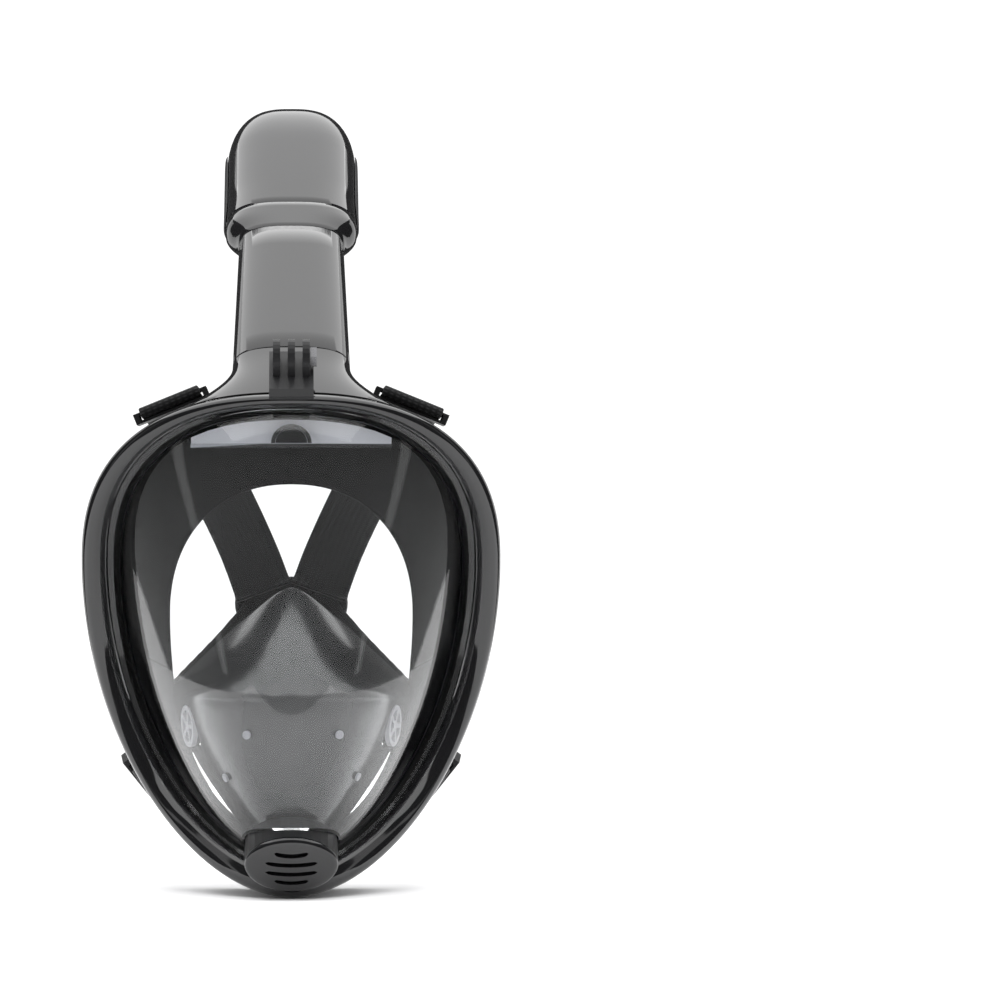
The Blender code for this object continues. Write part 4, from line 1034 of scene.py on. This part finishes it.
def paint_nodes():
    for node, surface, edge in (
        ("duct_nozzle", MATTE, 0.2), ("camera_mount", MATTE, 0.35),
        ("camera_mount_nut", STEEL, 0.25), ("chin_valve_seat", MATTE, 0.2), ("chin_valve_flap", RUBBER, 0.2),
        ("inhale_valve_seat_left", GREY, 0.25), ("inhale_valve_seat_right", GREY, 0.25),
        ("inhale_flap_left", RUBBER, 0.15), ("inhale_flap_right", RUBBER, 0.15),
        ("strap_bracket_left", MATTE, 0.8), ("strap_bracket_right", MATTE, 0.8),
        ("strap_clip_left", MATTE, 0.8), ("strap_clip_right", MATTE, 0.8),
        ("strap_slider_left", MATTE, 0.8), ("strap_slider_right", MATTE, 0.8),
        ("snorkel_divider", MATTE, 0.0), ("snorkel_spigot", MATTE, 0.2), ("spigot_o_ring", RUBBER, 0.2),
        ("intake_grille", GREY, 0.4), ("float_chamber_wall", MATTE, 0.2), ("valve_seat", GREY, 0.2),
        ("float_body", FOAM, 0.3), ("float_seal", RUBBER, 0.2),
        ("pocket_rivet_1", GREY, 0.2), ("pocket_rivet_2", GREY, 0.2),
        ("pocket_rivet_3", GREY, 0.2), ("pocket_rivet_4", GREY, 0.2),
    ):
        paint(node, surface, edge)
    forehead_chamber()


def duct_shade_plate():
    """Dark matte plate across the duct's mouth: painted shade that stands for the dark inside of the air
    duct, seen through the half dome.
    """
    turns = [math.pi * k / 24.0 for k in range(25)]
    arch = [(DUCT_RADIUS * math.cos(a), DUCT_RADIUS * math.sin(a)) for a in turns]
    rings = [
        [Vector((x, -forward, DUCT_FLOOR + 0.92 * z)) for x, z in arch]
        for forward in (DUCT_FRONT - DUCT_THICK, DUCT_FRONT)
    ]
    piece("duct_shade_plate", loft_mesh(rings), MATTE, "mask", (), 40.0)


def forehead_chamber():
    """Smoky clear shelf with a pale frosted back wall standing on it."""
    made = paint("forehead_panel", SMOKE)
    made.data.materials.append(FROST)
    for face in made.data.polygons:
        face.material_index = 1 if face.center.z > SHELF_TOP * MM else 0


# ---------------------------------------------------------------------- studio


def floor():
    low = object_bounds()[0][2]
    mesh = bpy.data.meshes.new("floor")
    half, back = FLOOR_HALF, FLOOR_BACK
    corners = [(-half, -half), (half, -half), (half, back), (-half, back)]
    mesh.from_pydata([(x, y, low - FLOOR_DROP) for x, y in corners], [], [(0, 1, 2, 3)])
    mesh.materials.append(FLOOR)
    made = bpy.data.objects.new("floor", mesh)
    bpy.context.scene.collection.objects.link(made)
    made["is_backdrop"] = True


def studio_air():
    """White surroundings that polished parts reflect as a dark room."""
    world = bpy.data.worlds.new("studio")
    world.use_nodes = True
    tree = world.node_tree
    white = tree.nodes["Background"]
    white.inputs["Color"].default_value = (1.0, 1.0, 1.0, 1.0)
    white.inputs["Strength"].default_value = WORLD_WHITE
    dark = tree.nodes.new("ShaderNodeBackground")
    dark.inputs["Color"].default_value = (1.0, 1.0, 1.0, 1.0)
    dark.inputs["Strength"].default_value = WORLD_DARK
    path = tree.nodes.new("ShaderNodeLightPath")
    mix = tree.nodes.new("ShaderNodeMixShader")
    mirrored = tree.nodes.new("ShaderNodeMath")
    mirrored.operation = "SUBTRACT"
    mirrored.use_clamp = True
    tree.links.new(path.outputs["Is Glossy Ray"], mirrored.inputs[0])
    tree.links.new(path.outputs["Is Transmission Ray"], mirrored.inputs[1])
    tree.links.new(mirrored.outputs["Value"], mix.inputs["Fac"])
    tree.links.new(white.outputs["Background"], mix.inputs[1])
    tree.links.new(dark.outputs["Background"], mix.inputs[2])
    tree.links.new(mix.outputs["Shader"], tree.nodes["World Output"].inputs["Surface"])
    bpy.context.scene.world = world


def lamp(name, size, glow, place, target):
    """A soft box; glow is how bright its face looks."""
    data = bpy.data.lights.new(name, "AREA")
    data.shape = "RECTANGLE"
    data.size, data.size_y = size
    data.energy = glow * math.pi * size[0] * size[1]
    made = bpy.data.objects.new(name, data)
    bpy.context.scene.collection.objects.link(made)
    made.location = place
    aim = Vector(target) - Vector(place)
    made.rotation_euler = aim.to_track_quat("-Z", "Y").to_euler()
    made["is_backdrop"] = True


def lights():
    lamp("top_box", (2.4, 3.1), TOP_GLOW, (0.0, 0.3, 1.3), (0.0, 0.3, 0.0))
    for side, label in SIDES:
        lamp(f"{label}_strip", (0.10, 1.2), STRIP_GLOW, (side, -0.2, 0.35), AIM)
    for side, label in SIDES:
        lamp(f"{label}_rear", (0.7, 1.4), REAR_GLOW, (side * 1.1, 1.1, 0.3), AIM)


def camera():
    data = bpy.data.cameras.new("camera")
    data.lens = CAMERA_LENS
    data.sensor_width = 36.0
    made = bpy.data.objects.new("camera", data)
    made.location = CAMERA_PLACE
    made.rotation_euler = (math.radians(90.0), 0.0, math.radians(CAMERA_TURN))
    bpy.context.scene.collection.objects.link(made)
    bpy.context.scene.camera = made
    bpy.context.scene.view_settings.view_transform = "Standard"


bezel()
frame_band()
skirt()
lens()
nose_pocket()
socket()
tube_half("tube_front", "snorkel_tube_front", GLOSS, 1.0)
tube_half("tube_rear", "snorkel_tube_rear", RIBBED, -1.0)
head_shell(
    "neck", "head_neck",
    [99.5, 100.0, 102.0, 104.0, 106.0, 108.5, 111.0, 113.5, 116.0, 119.2, 119.7],
    False,
)
head_shell(
    "cap", "head_cap",
    [120.0, 120.5, 124.0, 128.0, 132.0, 136.0, 140.0, 144.0, 150.0, 156.0, 162.0, 168.0, 174.0, 180.0, 185.0,
     190.0, 194.0, 198.0, 201.0, 204.0, 206.5, 208.6, 210.3, 211.6, 212.5, 213.0],
    True,
)
for side, label in SIDES:
    head_panel(side, label)
chin_cover()
for side, label in SIDES:
    upper_strap(side, label)
    lower_strap(side, label)
back_pad()
# painted shade: a dark plate in the duct's mouth stands for the dark inside of the duct
duct_shade_plate()
paint_nodes()

floor()
studio_air()
lights()
camera()
